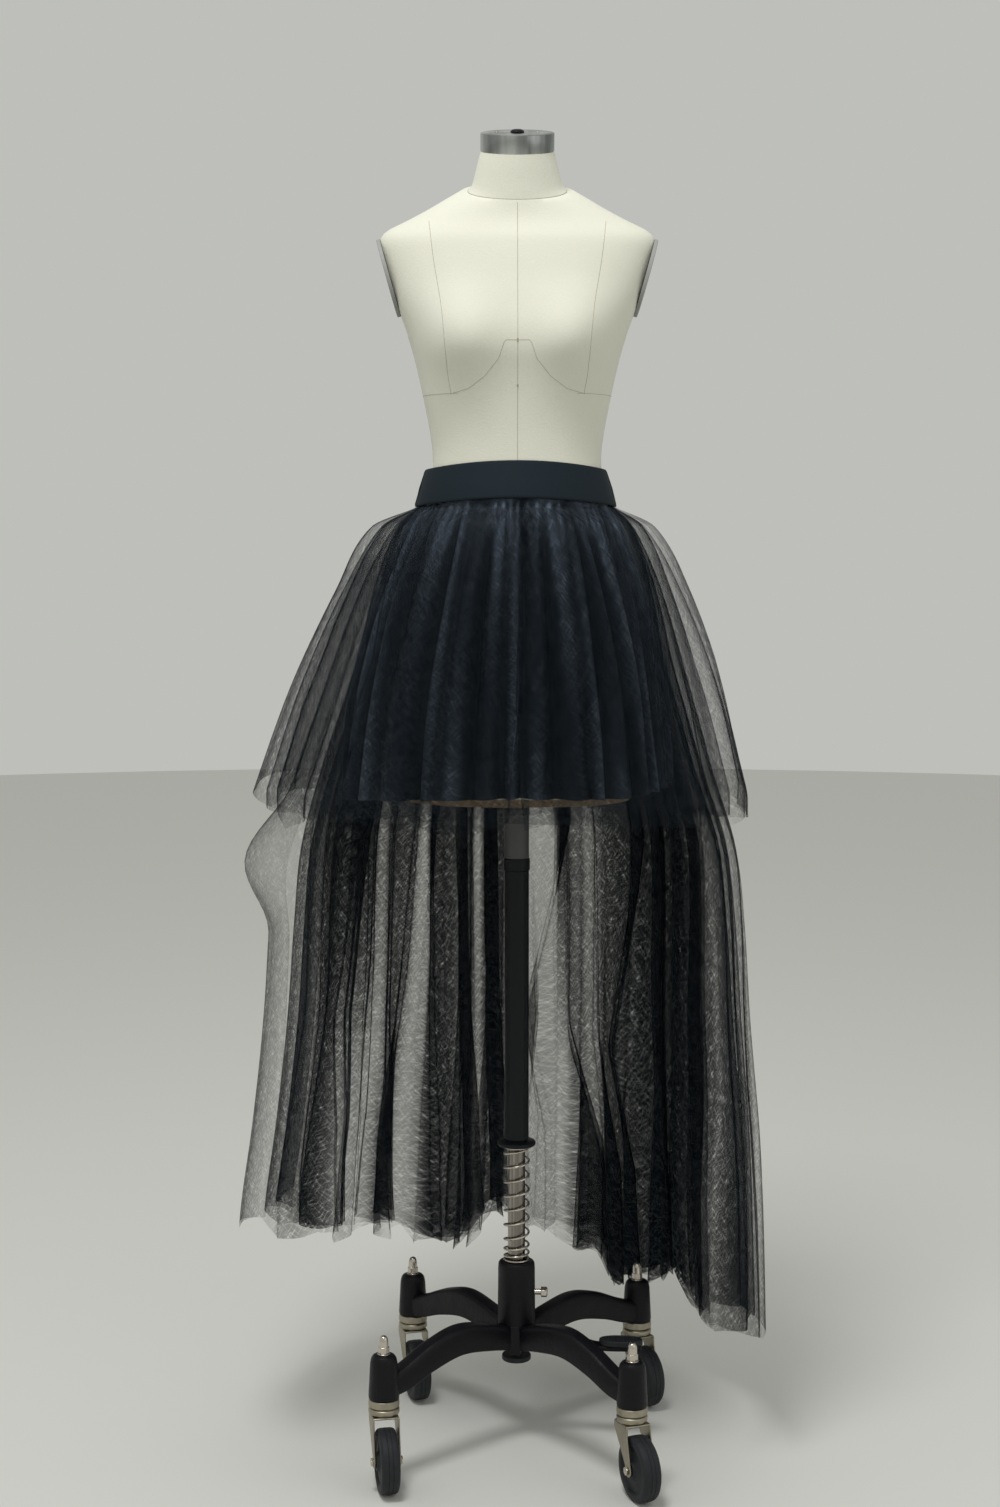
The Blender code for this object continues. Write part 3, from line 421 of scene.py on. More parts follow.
black_paint = Finish("gloss black paint", "black_paint", (0.004, 0.005, 0.007), 0.25,
                     Specular_IOR_Level=0.2)
scuffs = black_paint.noise(1.0, 4.0, (220.0, 220.0, 30.0))
black_paint.set(Roughness=0.18 + 0.3 * scuffs)
worn_paint = Finish("worn grey paint", "black_paint", (0.055, 0.056, 0.058), 0.45)
worn_paint.set(Roughness=0.35 + 0.3 * worn_paint.noise(90.0))
TUBE_RADIUS = 0.0165
TUBE_BORE = 0.0125
for name, node, finish, outer, low, high in (
        ("mast_tube", "pole_outer", black_paint, TUBE_RADIUS, 0.4268, 0.7977),
        ("mast_collar", "pole_collar", black_paint, TUBE_RADIUS + 0.0012, 0.798, 0.814),
        ("mast_socket", "pole_socket", worn_paint, TUBE_RADIUS, 0.8143, 0.8947)):
    Stock().lathe(((outer, high), (outer, low), (TUBE_BORE, low), (TUBE_BORE, high)),
                  STAND).piece(name, finish, "mast", node, bevel=0.0005)
Stock().lathe(((TUBE_RADIUS, 0.4265), (0.0235, 0.4246), (0.0255, 0.4236), (0.026, 0.4226),
               (0.026, 0.4196), (0.0252, 0.4184), (0.024, 0.418), (TUBE_BORE, 0.418),
               (TUBE_BORE, 0.4265)), STAND).piece(
    "mast_flange", black_paint, "mast", "pole_flange", bevel=0.0002)

# ---- casters ----------------------------------------------------------------------
# Ball-race swivel casters: zinc-plated races and a bent plate fork, an axle bolt and
# a solid rubber wheel with a grooved tread.  An acorn nut holds each stem on its post.

zinc = Finish("yellow zinc plate", "yellow_zinc", (0.36, 0.34, 0.29), 0.35, 1.0)
bloom = zinc.noise(70.0, 3.0)
zinc.shade(bloom, (0.22, 0.2, 0.17), (0.48, 0.44, 0.33))
zinc.set(Roughness=0.25 + 0.3 * bloom)
WHEEL_RADIUS = 0.0425
TRAIL = 0.024
FORK_TOP = 0.0985
CHEEK = 0.0155                    # half the space between a fork's cheeks
FORK_PLATE = 0.0025
AXLE_EYE = 0.0085                 # radius of a cheek's lower end
AXLE_FLATS = 0.01
SIDE_ON = Matrix(((0, 0, 1, 0), (1, 0, 0, 0), (0, 1, 0, 0), (0, 0, 0, 1)))
cheek_outline = [(0.0168, FORK_TOP - 0.0012), (0.017, FORK_TOP - 0.01)]
for step in range(13):
    turn = math.radians(30 - 18 * step)
    cheek_outline.append((-TRAIL + AXLE_EYE * math.cos(turn),
                          WHEEL_RADIUS + AXLE_EYE * math.sin(turn)))
cheek_outline += [(-0.0212, FORK_TOP - 0.013), (-0.0206, FORK_TOP - 0.0012)]
fork_plate = [(-0.0174, 0.016), (0.0174, 0.016), (0.0174, -0.02), (-0.0174, -0.02)]
# half of a wheel's section, from the middle of its tread: radius, distance aside
tread = [(0.0425, 0.0), (0.0425, 0.0022), (0.0419, 0.0026), (0.0419, 0.0032), (0.0424, 0.0036),
         (0.0423, 0.007), (0.0417, 0.0094), (0.0405, 0.0112), (0.0388, 0.0122), (0.0362, 0.0125),
         (0.0322, 0.0124), (0.0312, 0.0112), (0.0296, 0.0092), (0.021, 0.0104), (0.015, 0.0112),
         (0.0122, 0.0128), (0.0112, 0.0144), (0.0046, 0.0145)]
tread = [(r, -z) for r, z in reversed(tread[1:])] + tread
for corner in ("front_left", "front_right", "back_left", "back_right"):
    stem = middle("caster_race_" + corner)
    hub = middle("caster_wheel_" + corner)
    post = at(stem.x, stem.y, 0.0)
    swivel = post @ Matrix.Rotation(math.atan2(hub.x - stem.x, stem.y - hub.y), 4, 'Z')
    race = Stock().lathe(((0.0, 0.1187), (0.0192, 0.1187), (0.0201, 0.118), (0.0204, 0.115),
                          (0.0204, 0.1098), (0.0192, 0.1082), (0.0, 0.1082)), post)
    race.lathe(((0.0, 0.1856), (0.004, 0.1856), (0.0045, 0.1848), (0.0045, 0.099),
                (0.0, 0.099)), post, 32)
    race.piece("upper_race_" + corner, zinc, "base", "caster_race_" + corner, bevel=0.0003)
    nut = Stock().slab(hexagon(NUT_FLATS), POST_TOP + 0.0017, POST_TOP + 0.0102, post)
    nut.lathe(((0.0048, POST_TOP + 0.0018), (0.0084, POST_TOP + 0.0016), (0.0086, POST_TOP + 0.0004),
               (0.0048, POST_TOP + 0.0003)), post)
    nut.lathe(((0.0, 0.2035), (0.0022, 0.203), (0.0042, 0.2015), (0.0055, 0.199),
               (0.0061, 0.1955), (0.0062, 0.1876), (0.0, 0.1876)), post, 40)
    nut.piece("acorn_nut_on_" + corner, nickel, "base", "acorn_nut_" + corner, bevel=0.0005)
    fork = Stock().lathe(((0.0049, 0.1077), (0.018, 0.1077), (0.02, 0.107), (0.0205, 0.1056),
                          (0.0205, 0.1008), (0.0196, 0.0992), (0.0049, 0.0975)), swivel)
    for side in (-1, 1):
        low, high = sorted((side * CHEEK, side * (CHEEK + FORK_PLATE)))
        fork.slab(cheek_outline, low, high, swivel @ SIDE_ON)
    fork.slab(fork_plate, FORK_TOP - 0.0026, FORK_TOP, swivel)
    fork.piece("bent_fork_" + corner, zinc, "caster_" + corner, "caster_fork_" + corner,
               bevel=0.0011)
    axle = swivel @ at(0.0, -TRAIL, WHEEL_RADIUS) @ turned(90, 'Y')
    bolt = Stock().lathe(((0.0, 0.0212), (0.0036, 0.0208), (0.004, 0.0196), (0.004, -0.0215),
                          (0.0, -0.0215)), axle, 32)
    for low, high in ((-0.0212, -0.0184), (0.0184, 0.0206)):
        bolt.slab(hexagon(AXLE_FLATS), low, high, axle)
    bolt.piece("axle_bolt_" + corner, nickel, "caster_" + corner, "caster_axle_" + corner,
               bevel=0.0004)
    Stock().lathe(tread, axle, 80).piece("rubber_wheel_" + corner, rubber, "wheel_" + corner,
                                         "caster_wheel_" + corner)

# ---- pedal ------------------------------------------------------------------------
# A flat steel lever on a pin between the hub's lugs, with an oval rubber pad that has
# a raised rim and ribs for the foot.

PIVOT = BASE @ at(*PEDAL_PIVOT)
PAD_MIDDLE = 0.108
RIB_PITCH = 0.0043
# distance from the pin, bottom, top, half width
LEVER_SECTIONS = (
    (-0.0060, -0.0050, 0.0050, 0.0080),
    (0.0120, -0.0060, 0.0055, 0.0085),
    (0.0450, -0.0080, 0.0018, 0.0088),
    (0.0760, -0.0140, -0.0071, 0.0105),
    (0.1360, -0.0140, -0.0071, 0.0105),
)


def lever_outline(low, high, half):
    return (-half, low), (half, low), (half, high), (-half, high)


Stock().bar(LEVER_SECTIONS, 40, lever_outline, PIVOT).piece(
    "foot_lever", enamel, "pedal", "pedal_lever", bevel=0.0012, edge=50.0)


def pad_outline(long, wide):
    """A blunt oval about the pad's middle."""
    return [(PAD_MIDDLE + long * math.copysign(abs(x) ** 0.8, x), wide * y)
            for x, y in oval(1.0, 1.0, 48)]


pad = Stock().slab(pad_outline(0.03, 0.0145), -0.0067, -0.0012, PIVOT)
pad_rim = [PIVOT @ Vector((x, y, -0.0008)) for x, y in pad_outline(0.0286, 0.0131)]
pad.pipe(pad_rim, 0.0014, looped=True)
for k in range(-5, 6):
    half = 0.011 * math.sqrt(1 - (k / 7) ** 2)
    rib = ((-0.0011, -half), (0.0011, -half), (0.0011, half), (-0.0011, half))
    pad.slab(rib, -0.0012, 0.0002, PIVOT @ at(PAD_MIDDLE + RIB_PITCH * k, 0.0, 0.0))
pad.piece("ribbed_foot_pad", rubber, "pedal", "pedal_pad", bevel=0.0004)
Stock().lathe(((0.0, 0.017), (0.0021, 0.017), (0.0025, 0.0166), (0.0025, -0.0166),
               (0.0021, -0.017), (0.0, -0.017)), PIVOT @ turned(90, 'X'),
              32).piece("hinge_pin", nickel, "base", "pedal_pin")

# ---- dress form -------------------------------------------------------------------
# A limbless papier-mache form under stretched cream canvas, sewn in shaped panels,
# with grey boards in the armholes and a tan hardboard plate below.

canvas = Finish("cream canvas", "form_canvas", (0.74, 0.73, 0.63), 0.85, Sheen_Weight=0.1)
warp = canvas.noise(1.0, stretch=(260.0, 260.0, 1500.0))
weft = canvas.noise(1.0, stretch=(1500.0, 1500.0, 260.0))
patches = canvas.noise(9.0, 3.0)
canvas.shade(patches, (0.7, 0.69, 0.585), (0.77, 0.765, 0.67))
canvas.bump(warp + weft, 0.0003)
seam_thread = Finish("canvas seam", "form_canvas", (0.36, 0.34, 0.27), 0.9)
seam_thread.bump(seam_thread.noise(1200.0), 0.0003)
board = Finish("grey board", "arm_plate_board", (0.3, 0.3, 0.29), 0.6)
board.set(Roughness=0.5 + 0.25 * board.noise(300.0, 3.0))
board.bump(board.noise(1.0, stretch=(900.0, 90.0, 90.0)), 0.0002)
hardboard = Finish("tan hardboard", "form_canvas", (0.3, 0.21, 0.13), 0.7)
fibres = hardboard.noise(600.0, 3.0)
hardboard.shade(fibres, (0.22, 0.15, 0.09), (0.4, 0.29, 0.18))
hardboard.bump(fibres, 0.0003)

TORSO_BOTTOM = 0.9053
# height, half width, front depth, back depth, squareness, forward slope
TORSO_SECTIONS = (
    (TORSO_BOTTOM, 0.154, 0.105, 0.115, 2.1, 0.0),
    (0.960, 0.1630, 0.1090, 0.1230, 2.1, 0.00),
    (1.030, 0.1680, 0.1110, 0.1260, 2.1, 0.00),
    (1.110, 0.1630, 0.1070, 0.1210, 2.1, 0.00),
    (1.190, 0.1470, 0.0990, 0.1080, 2.1, 0.00),
    (1.250, 0.1310, 0.0930, 0.0960, 2.1, 0.00),
    (1.300, 0.1180, 0.0880, 0.0880, 2.1, 0.00),
    (1.345, 0.1115, 0.0840, 0.0830, 2.1, 0.00),
    (1.380, 0.1145, 0.0840, 0.0840, 2.1, 0.00),
    (1.430, 0.1240, 0.0890, 0.0880, 2.2, 0.00),
    (1.460, 0.1305, 0.0930, 0.0900, 2.2, 0.00),
    (1.490, 0.1380, 0.0980, 0.0920, 2.3, 0.00),
    (1.520, 0.1475, 0.0980, 0.0940, 2.4, 0.00),
    (1.550, 0.1590, 0.0930, 0.0950, 2.5, 0.00),
    (1.580, 0.1700, 0.0860, 0.0930, 2.5, 0.00),
    (1.610, 0.1785, 0.0780, 0.0890, 2.5, 0.00),
    (1.632, 0.1810, 0.0700, 0.0840, 2.5, 0.00),
    (1.646, 0.1720, 0.0630, 0.0780, 2.4, 0.06),
    (1.660, 0.1450, 0.0570, 0.0720, 2.2, 0.14),
    (1.674, 0.1180, 0.0530, 0.0660, 2.1, 0.22),
    (1.688, 0.0930, 0.0510, 0.0600, 2.0, 0.30),
    (1.698, 0.0740, 0.0500, 0.0560, 2.0, 0.36),
)
BUST_X = 0.076
BUST_Z = 1.5
BUST_WIDTH = 0.056
BUST_DEPTH = 0.03


def torso_ring(height, across, front, back, power, slope, count=120):
    """Points round the torso at a height, from the centre front."""
    turns = np.linspace(0.0, 2 * math.pi, count, endpoint=False)
    sine = np.sin(turns)
    cosine = np.cos(turns)
    x = np.sign(sine) * np.abs(sine) ** (2 / power) * across
    y = -np.sign(cosine) * np.abs(cosine) ** (2 / power) * np.where(cosine > 0, front, back)
    for side in (-1, 1):
        span = ((x - side * BUST_X) ** 2 + (height - BUST_Z) ** 2) / BUST_WIDTH ** 2
        y = y - BUST_DEPTH * np.exp(-span) * np.maximum(cosine, 0.0) ** 0.5
    return [STAND @ Vector((a, b, height + slope * b)) for a, b in zip(x.tolist(), y.tolist())]


heights = np.linspace(TORSO_BOTTOM, 1.698, 130)
torso_rings = [torso_ring(*row) for row in zip(heights, *smooth(TORSO_SECTIONS, heights))]
torso = Stock().rings(torso_rings).piece("canvas_torso", canvas, "mast", "form_torso", edge=50.0)
ARM_PLATE_X = 0.1545
ARM_PLATE_Z = 1.542
ARM_PLATE_LEAN = 15.4             # degrees
ARMHOLE_LOW = 1.505               # the cuts for the armholes stay above this
ARMHOLE_IN = 0.1                  # and outside this
bm = bmesh.new()
bm.from_mesh(torso.data)
for side in (-1, 1):
    near = [v for v in bm.verts if v.co.z > ARMHOLE_LOW and (v.co.x - POLE.x) * side > ARMHOLE_IN]
    region = set(near)
    for v in near:
        region.update(v.link_edges)
        region.update(v.link_faces)
    lean = math.radians(ARM_PLATE_LEAN)
    cut = bmesh.ops.bisect_plane(
        bm, geom=list(region), dist=0.000001, clear_outer=True,
        plane_co=STAND @ Vector((side * ARM_PLATE_X, 0.0, ARM_PLATE_Z)),
        plane_no=(side * math.cos(lean), 0.0, -math.sin(lean)))
    rim = [e for e in cut["geom_cut"] if isinstance(e, bmesh.types.BMEdge) and e.is_boundary]
    bmesh.ops.contextual_create(bm, geom=rim)
bm.to_mesh(torso.data)
bm.free()
torso.data.set_sharp_from_angle(angle=math.radians(50.0))
for name, node, turn in (("arm_board_right", "arm_plate_right", 0),
                         ("arm_board_left", "arm_plate_left", 180)):
    seat = (STAND @ turned(turn, 'Z') @ at(ARM_PLATE_X, 0.0, ARM_PLATE_Z)
            @ turned(ARM_PLATE_LEAN, 'Y') @ at(GAP, 0.0, 0.046) @ turned(90, 'Y'))
    Stock().slab(oval(0.052, 0.045, 72), 0.0, 0.005, seat).piece(
        name, board, "mast", node, bevel=0.0008)
skin = BVHTree.FromObject(torso, bpy.context.evaluated_depsgraph_get())


def on_torso(x, z, way):
    """The torso's surface in front (-1) or behind (1), as far across and as high."""
    return skin.ray_cast(STAND @ Vector((x, way * 0.5, z)), Vector((0.0, -way, 0.0)))[0]


def round_torso(turn, z):
    """The torso's surface in a direction from the centre front, in degrees."""
    out = Vector((math.sin(math.radians(turn)), -math.cos(math.radians(turn)), 0.0))
    return skin.ray_cast(STAND @ (out * 0.5 + Vector((0.0, 0.0, z))), -out)[0]


# height and distance across of points of a seam; the other side is its mirror
PRINCESS_SEAM = ((1.431, 0.086), (1.455, 0.09), (1.54, 0.098), (1.6, 0.108),
                 (1.655, 0.115))
PRINCESS_BACK = ((1.36, 0.052), (1.45, 0.062), (1.56, 0.082), (1.64, 0.098))
# the same for the seam below the bust, with the distance first
UNDERBUST = ((0.0, 1.4965), (0.0145, 1.4965), (0.0173, 1.494), (0.0246, 1.473),
             (0.0424, 1.4515), (0.0632, 1.4365), (0.087, 1.4305))
SEAM_THREAD = 0.0003
NECK_THREAD = 0.0004
TACK_THREAD = 0.0011
SEAM_FOOT = 1.345                 # where the seams go in under the band
LEVEL_SEAM = 1.431
SIDE_SEAM = 91                    # degrees from the centre front
seams = Stock()


def sew(line):
    """Thread along the points of a line that lie on the torso."""
    seams.pipe([point for point in line if point], SEAM_THREAD, 6)


for way, table in ((-1, PRINCESS_SEAM), (1, PRINCESS_BACK)):
    sew(on_torso(0.0, z, way) for z in np.linspace(SEAM_FOOT, 1.69, 80).tolist())
    levels = np.linspace(table[0][0], table[-1][0], 60)
    spots = smooth(table, levels)[0]
    for side in (-1, 1):
        sew(on_torso(side * x, z, way) for z, x in zip(levels.tolist(), spots.tolist()))
spots = np.interp(np.linspace(0, 1, 60), np.linspace(0, 1, len(UNDERBUST)),
                  [x for x, z in UNDERBUST]).tolist()
for side in (-1, 1):
    sew(on_torso(side * x, np.interp(x, *zip(*UNDERBUST)), -1) for x in spots)
    sew(round_torso(side * turn, LEVEL_SEAM) for turn in range(44, 181, 3))
    sew(round_torso(side * SIDE_SEAM, z) for z in np.linspace(SEAM_FOOT, 1.51, 40).tolist())
for z, half_tack in ((1.4965, 0.0022), (1.44, 0.0012)):
    tack = [on_torso(0.0, z + half_tack * step, -1) for step in (-1.0, 0.0, 1.0)]
    seams.pipe(tack, TACK_THREAD, 6)
seams.piece("sewn_seams", seam_thread, "mast")

NECK_TOP = 1.749
NECK_LEAN = 14.6                  # degrees
NECK_FORWARD = 0.006
# height, radius across, radius front to back, slope, shift forwards
NECK_SECTIONS = (
    (1.6984, 0.0650, 0.0485, 0.36, 0.0000),
    (1.7050, 0.0600, 0.0482, 0.35, 0.0010),
    (1.7180, 0.0560, 0.0480, 0.32, 0.0025),
    (1.7340, 0.0520, 0.0480, 0.29, 0.0045),
    (NECK_TOP, 0.048, 0.048, math.tan(math.radians(NECK_LEAN)), NECK_FORWARD),
)
heights = np.linspace(NECK_SECTIONS[0][0], NECK_TOP, 16)
neck_rings = []
for z, across, depth, slope, forward in zip(heights, *smooth(NECK_SECTIONS, heights)):
    neck_rings.append([STAND @ Vector((sine * across, -cosine * depth - forward,
                                       z - slope * cosine * depth))
                       for cosine, sine in oval(1.0, 1.0, 96)])
Stock().rings(neck_rings).piece("canvas_neck", canvas, "mast", "form_neck", edge=50.0)
Stock().pipe(neck_rings[0], NECK_THREAD, 6, looped=True).piece(
    "neck_seam", seam_thread, "mast")
PLATE_SHARE = 0.985               # of the torso's foot
plate_outline = [((p.x - POLE.x) * PLATE_SHARE, (p.y - POLE.y) * PLATE_SHARE)
                 for p in torso_rings[0]]
Stock().slab(plate_outline, 0.895, 0.905, STAND).piece(
    "hardboard_bottom", hardboard, "mast", "form_bottom_plate", bevel=0.001)

# ---- neck cap ---------------------------------------------------------------------
# A spun steel cap, brushed round its side, with two rivets and a black knob on top.

steel = Finish("brushed steel", "brushed_steel", (0.42, 0.43, 0.42), 0.3, 1.0, Anisotropic=0.6)
brushing = steel.noise(1.0, 3.0, (40.0, 40.0, 2400.0))
painted_cap_reflections = steel.noise(1.0, 3.0, (55.0, 20.0, 0.5))
# painted reflections: broad upright dark and bright bands in the steel's colour stand in for its
# mirrored surroundings
steel.shade(((painted_cap_reflections - 0.5) * 3.5 + 0.45).within(0.0, 1.0), (0.19, 0.2, 0.2), (0.5, 0.51, 0.5))
steel.set(Roughness=0.16 + 0.16 * brushing)
steel.bump(brushing, 0.00008)
CAP_RADIUS = 0.0485
CAP_TOP = 0.0238
cap_seat = STAND @ at(0.0, -NECK_FORWARD, NECK_TOP) @ turned(NECK_LEAN, 'X')
cap = Stock().lathe(((0.0, CAP_TOP), (0.046, CAP_TOP), (0.0474, 0.0236), (0.0482, 0.023),
                     (CAP_RADIUS, 0.0218), (CAP_RADIUS, 0.0012), (0.048, 0.0003), (0.0, 0.0003)),
                    cap_seat, 128)
for side in (-1, 1):
    rivet = cap_seat @ at(side * 0.027, 0.004, 0.0)
    cap.lathe(((0.0, 0.0246), (0.0016, 0.0245), (0.0024, 0.0238), (0.0, 0.0236)), rivet, 20)
cap.piece("spun_neck_cap", steel, "mast", "neck_cap")
Stock().lathe(((0.0, 0.028), (0.0046, 0.0279), (0.0074, 0.027), (0.009, 0.0254),
               (0.0092, 0.0241), (0.0, 0.0241)), cap_seat, 48).piece(
    "black_knob", black_paint, "mast", "neck_knob")

# ---- waistband --------------------------------------------------------------------
# A wide doubled band of smooth black cloth in front, joined at the side seams to a
# back that is shirred on elastic.

COOL = (0.75, 0.88, 1.0, 1.0)     # the tint of light off black cloth
band_cloth = Finish("band cloth", "band_cloth", (0.0095, 0.015, 0.02), 0.75,
                    Specular_IOR_Level=0.2, Specular_Tint=COOL)
thread = band_cloth.noise(1.0, stretch=(350.0, 350.0, 2200.0))
band_cloth.bump(thread, 0.0002)
band_cloth.set(Roughness=0.62 + 0.2 * thread)

BAND_BOTTOM = 1.296
BAND_HEIGHT = 0.049
BAND_TOP = BAND_BOTTOM + BAND_HEIGHT
SIDE_DIP = 0.01                   # the band sits lower at the sides and the back
SEAM_ANGLE = 84.0                 # from the centre front to a side seam, in degrees
SEAM_GAP = 0.06                   # degrees left at each side of a side seam
# section of the body of cloth: height, reach to the left, right, front and back of the pole
BAND = (
    (BAND_BOTTOM - SIDE_DIP, 0.1345, 0.131, 0.1045, 0.106),
    (BAND_BOTTOM, 0.131, 0.1275, 0.1012, 0.103),
    (BAND_TOP - SIDE_DIP, 0.1205, 0.1165, 0.087, 0.085),
    (BAND_TOP, 0.119, 0.115, 0.0852, 0.084),
)


def on_section(table, angles, heights, outwards):
    """Points of a layer, about the pole: degrees from the centre front, then out."""
    left, right, front, back = smooth(table, heights)
    sine = np.sin(np.radians(angles))
    cosine = np.cos(np.radians(angles))
    across = np.where(sine > 0, right, left)
    depth = np.where(cosine > 0, front, back)
    normal = np.stack((sine * depth, -cosine * across))
    normal = normal / np.hypot(*normal) * outwards
    return np.stack((POLE.x + sine * across + normal[0], POLE.y - cosine * depth + normal[1],
                     heights + 0 * sine), axis=-1)


def dip(angles):
    """How much lower the waist seam lies, away from the centre front."""
    return SIDE_DIP * (1.0 - np.maximum(np.cos(np.radians(angles)), 0.0) ** 2)


def cloth(name, grid, finish, nodes, weight=None):
    """A sheet of cloth through a grid of points, in rows from the waist down.

    Its weight is what its finish goes by: the rise of a fold, which satin shows as painted shade and
    highlight, or a number of thicknesses.
    """
    rows, columns = grid.shape[:2]
    index = np.arange(rows * columns).reshape(rows, columns)
    faces = np.stack((index[:-1, :-1], index[1:, :-1], index[1:, 1:], index[:-1, 1:]), axis=-1)
    mesh = bpy.data.meshes.new(name)
    mesh.from_pydata(grid.reshape(-1, 3).tolist(), [], faces.reshape(-1, 4).tolist())
    steps_along = np.linalg.norm(np.diff(grid[rows // 2], axis=0), axis=1)
    steps_down = np.abs(np.diff(grid[:, columns // 2, 2]))
    across, drop = np.meshgrid(np.append(0.0, np.cumsum(steps_along)),
                               np.append(0.0, np.cumsum(steps_down)))
    maps = {"cloth": (across, drop)}
    if weight is not None:
        maps["weight"] = (weight, 0 * weight)
    for key, pair in maps.items():
        layer = mesh.uv_layers.new(name=key)
        corners = np.stack(pair, axis=-1).reshape(-1, 2)[faces.reshape(-1)]
        layer.uv.foreach_set("vector", corners.reshape(-1))
    mesh.shade_smooth()
    mesh.materials.append(finish.material)
    thing = hand_over(add(name, mesh), "mast", nodes)
    return thing


# outline of the doubled band, from its hidden face round the top: share of the height, out
BAND_EDGE = ((0.02, 0.0), (0.98, 0.0), (1.0, 0.0006), (0.99, 0.0013), (0.94, 0.0017),
             (0.5, 0.0021), (0.08, 0.0019), (0.01, 0.0014), (0.0, 0.0007), (0.02, 0.0))
for name, node, first, last, ruck, flat in (
        ("band_front", "waistband_front", -SEAM_ANGLE, SEAM_ANGLE, 0.0, 0.33),
        ("band_back", "waistband_back", SEAM_ANGLE, 360.0 - SEAM_ANGLE, 0.0016, 0.46)):
    turns = np.linspace(first + SEAM_GAP, last - SEAM_GAP, 420)
    angles, share = np.meshgrid(turns, [row[0] for row in BAND_EDGE])
    out = np.array([row[1] for row in BAND_EDGE])[:, None] * (1 + 0 * angles)
    shirring = np.sin(np.radians(angles) * 58 + 0.8 * np.sin(np.radians(angles) * 9))
    shirring = shirring * (0.7 + 0.3 * np.sin(np.radians(angles) * 23 + share * 9))
    out = out + ruck * shirring * (out > 0.0001) * (1 - (2 * share - 1) ** 8)
    levels = BAND_BOTTOM + share * BAND_HEIGHT - dip(angles)
    grid = on_section(BAND, angles, levels, out)
    cloth(name, grid, band_cloth, (node,))

# ---- lining -----------------------------------------------------------------------
# A short underskirt of black satin in a front and a back panel, gathered to the band;
# it falls in soft ridges between narrow troughs, with painted shade in the troughs and
# painted highlight on the ridges.

satin = Finish("black satin", "lining_satin", (0.011, 0.016, 0.024), 0.36,
               Specular_IOR_Level=0.15, Specular_Tint=COOL)
# painted shade and highlight: the base colour runs from near black in the troughs to blue grey on
# the ridges, by each fold's stored rise, whatever the lamps do
painted_fold_shading = satin.node("SeparateXYZ", (), (satin.node("UVMap", {"uv_map": "weight"}),))
satin.shade(painted_fold_shading ** 2.2, (0.0006, 0.001, 0.002), (0.125, 0.16, 0.212))
weave = satin.noise(1.0, stretch=(2400.0, 2400.0, 500.0))
satin.set(Roughness=0.38 + 0.14 * weave)
satin.bump(weave, 0.00012)

LINING = (
    (1.2850, 0.1304, 0.1269, 0.0985, 0.1019),
    (1.2600, 0.1470, 0.1400, 0.1160, 0.1240),
    (1.1700, 0.1830, 0.1700, 0.1420, 0.1580),
    (1.0400, 0.2190, 0.1950, 0.1580, 0.1800),
    (0.9080, 0.2350, 0.2080, 0.1670, 0.1920),
)
LINING_HEM = ((0, 0.914), (45, 0.91), (90, 0.923), (180, 0.91), (270, 0.898), (315, 0.906),
              (360, 0.914))
# trough of the satin: degrees at the waist and at the hem, depth
FRONT_TROUGHS = (
    (-84, -84, 0.008), (-74, -79, 0.014), (-60, -64, 0.021), (-50, -54, 0.01), (-31, -34, 0.022),
    (-24, -27, 0.01), (-13, -15.5, 0.019), (-4.5, -5, 0.012), (3.5, 1.0, 0.021), (13, 14, 0.02),
    (25, 28, 0.01), (32, 34, 0.019), (39, 49, 0.021), (55, 58, 0.01), (61, 62, 0.019),
    (73, 75, 0.014), (84, 84, 0.008))
PER_RIDGE = 22                    # columns of points between two troughs
SEAM_TOP = BAND_BOTTOM - GAP
chance = random.Random(5)
back_troughs = []
turn = SEAM_ANGLE
while turn < 270:
    back_troughs.append((turn, turn + chance.uniform(-3, 3), chance.uniform(0.006, 0.015)))
    turn += chance.uniform(7, 15)
back_troughs[0] = (SEAM_ANGLE, SEAM_ANGLE, 0.006)
back_troughs.append((360.0 - SEAM_ANGLE, 360.0 - SEAM_ANGLE, 0.006))


def gathers(angles, drop, count, depth, reach):
    """Fine gathers that leave the waist seam and die out within a reach."""
    wander = 2.3 * np.sin(np.radians(angles) * 7) + 1.4 * np.sin(np.radians(angles) * 13 + 1)
    fade = np.exp(-drop / reach) * np.minimum(1.0, drop / 0.012)
    return depth * fade * np.sin(np.radians(angles) * count + wander + 6 * drop)


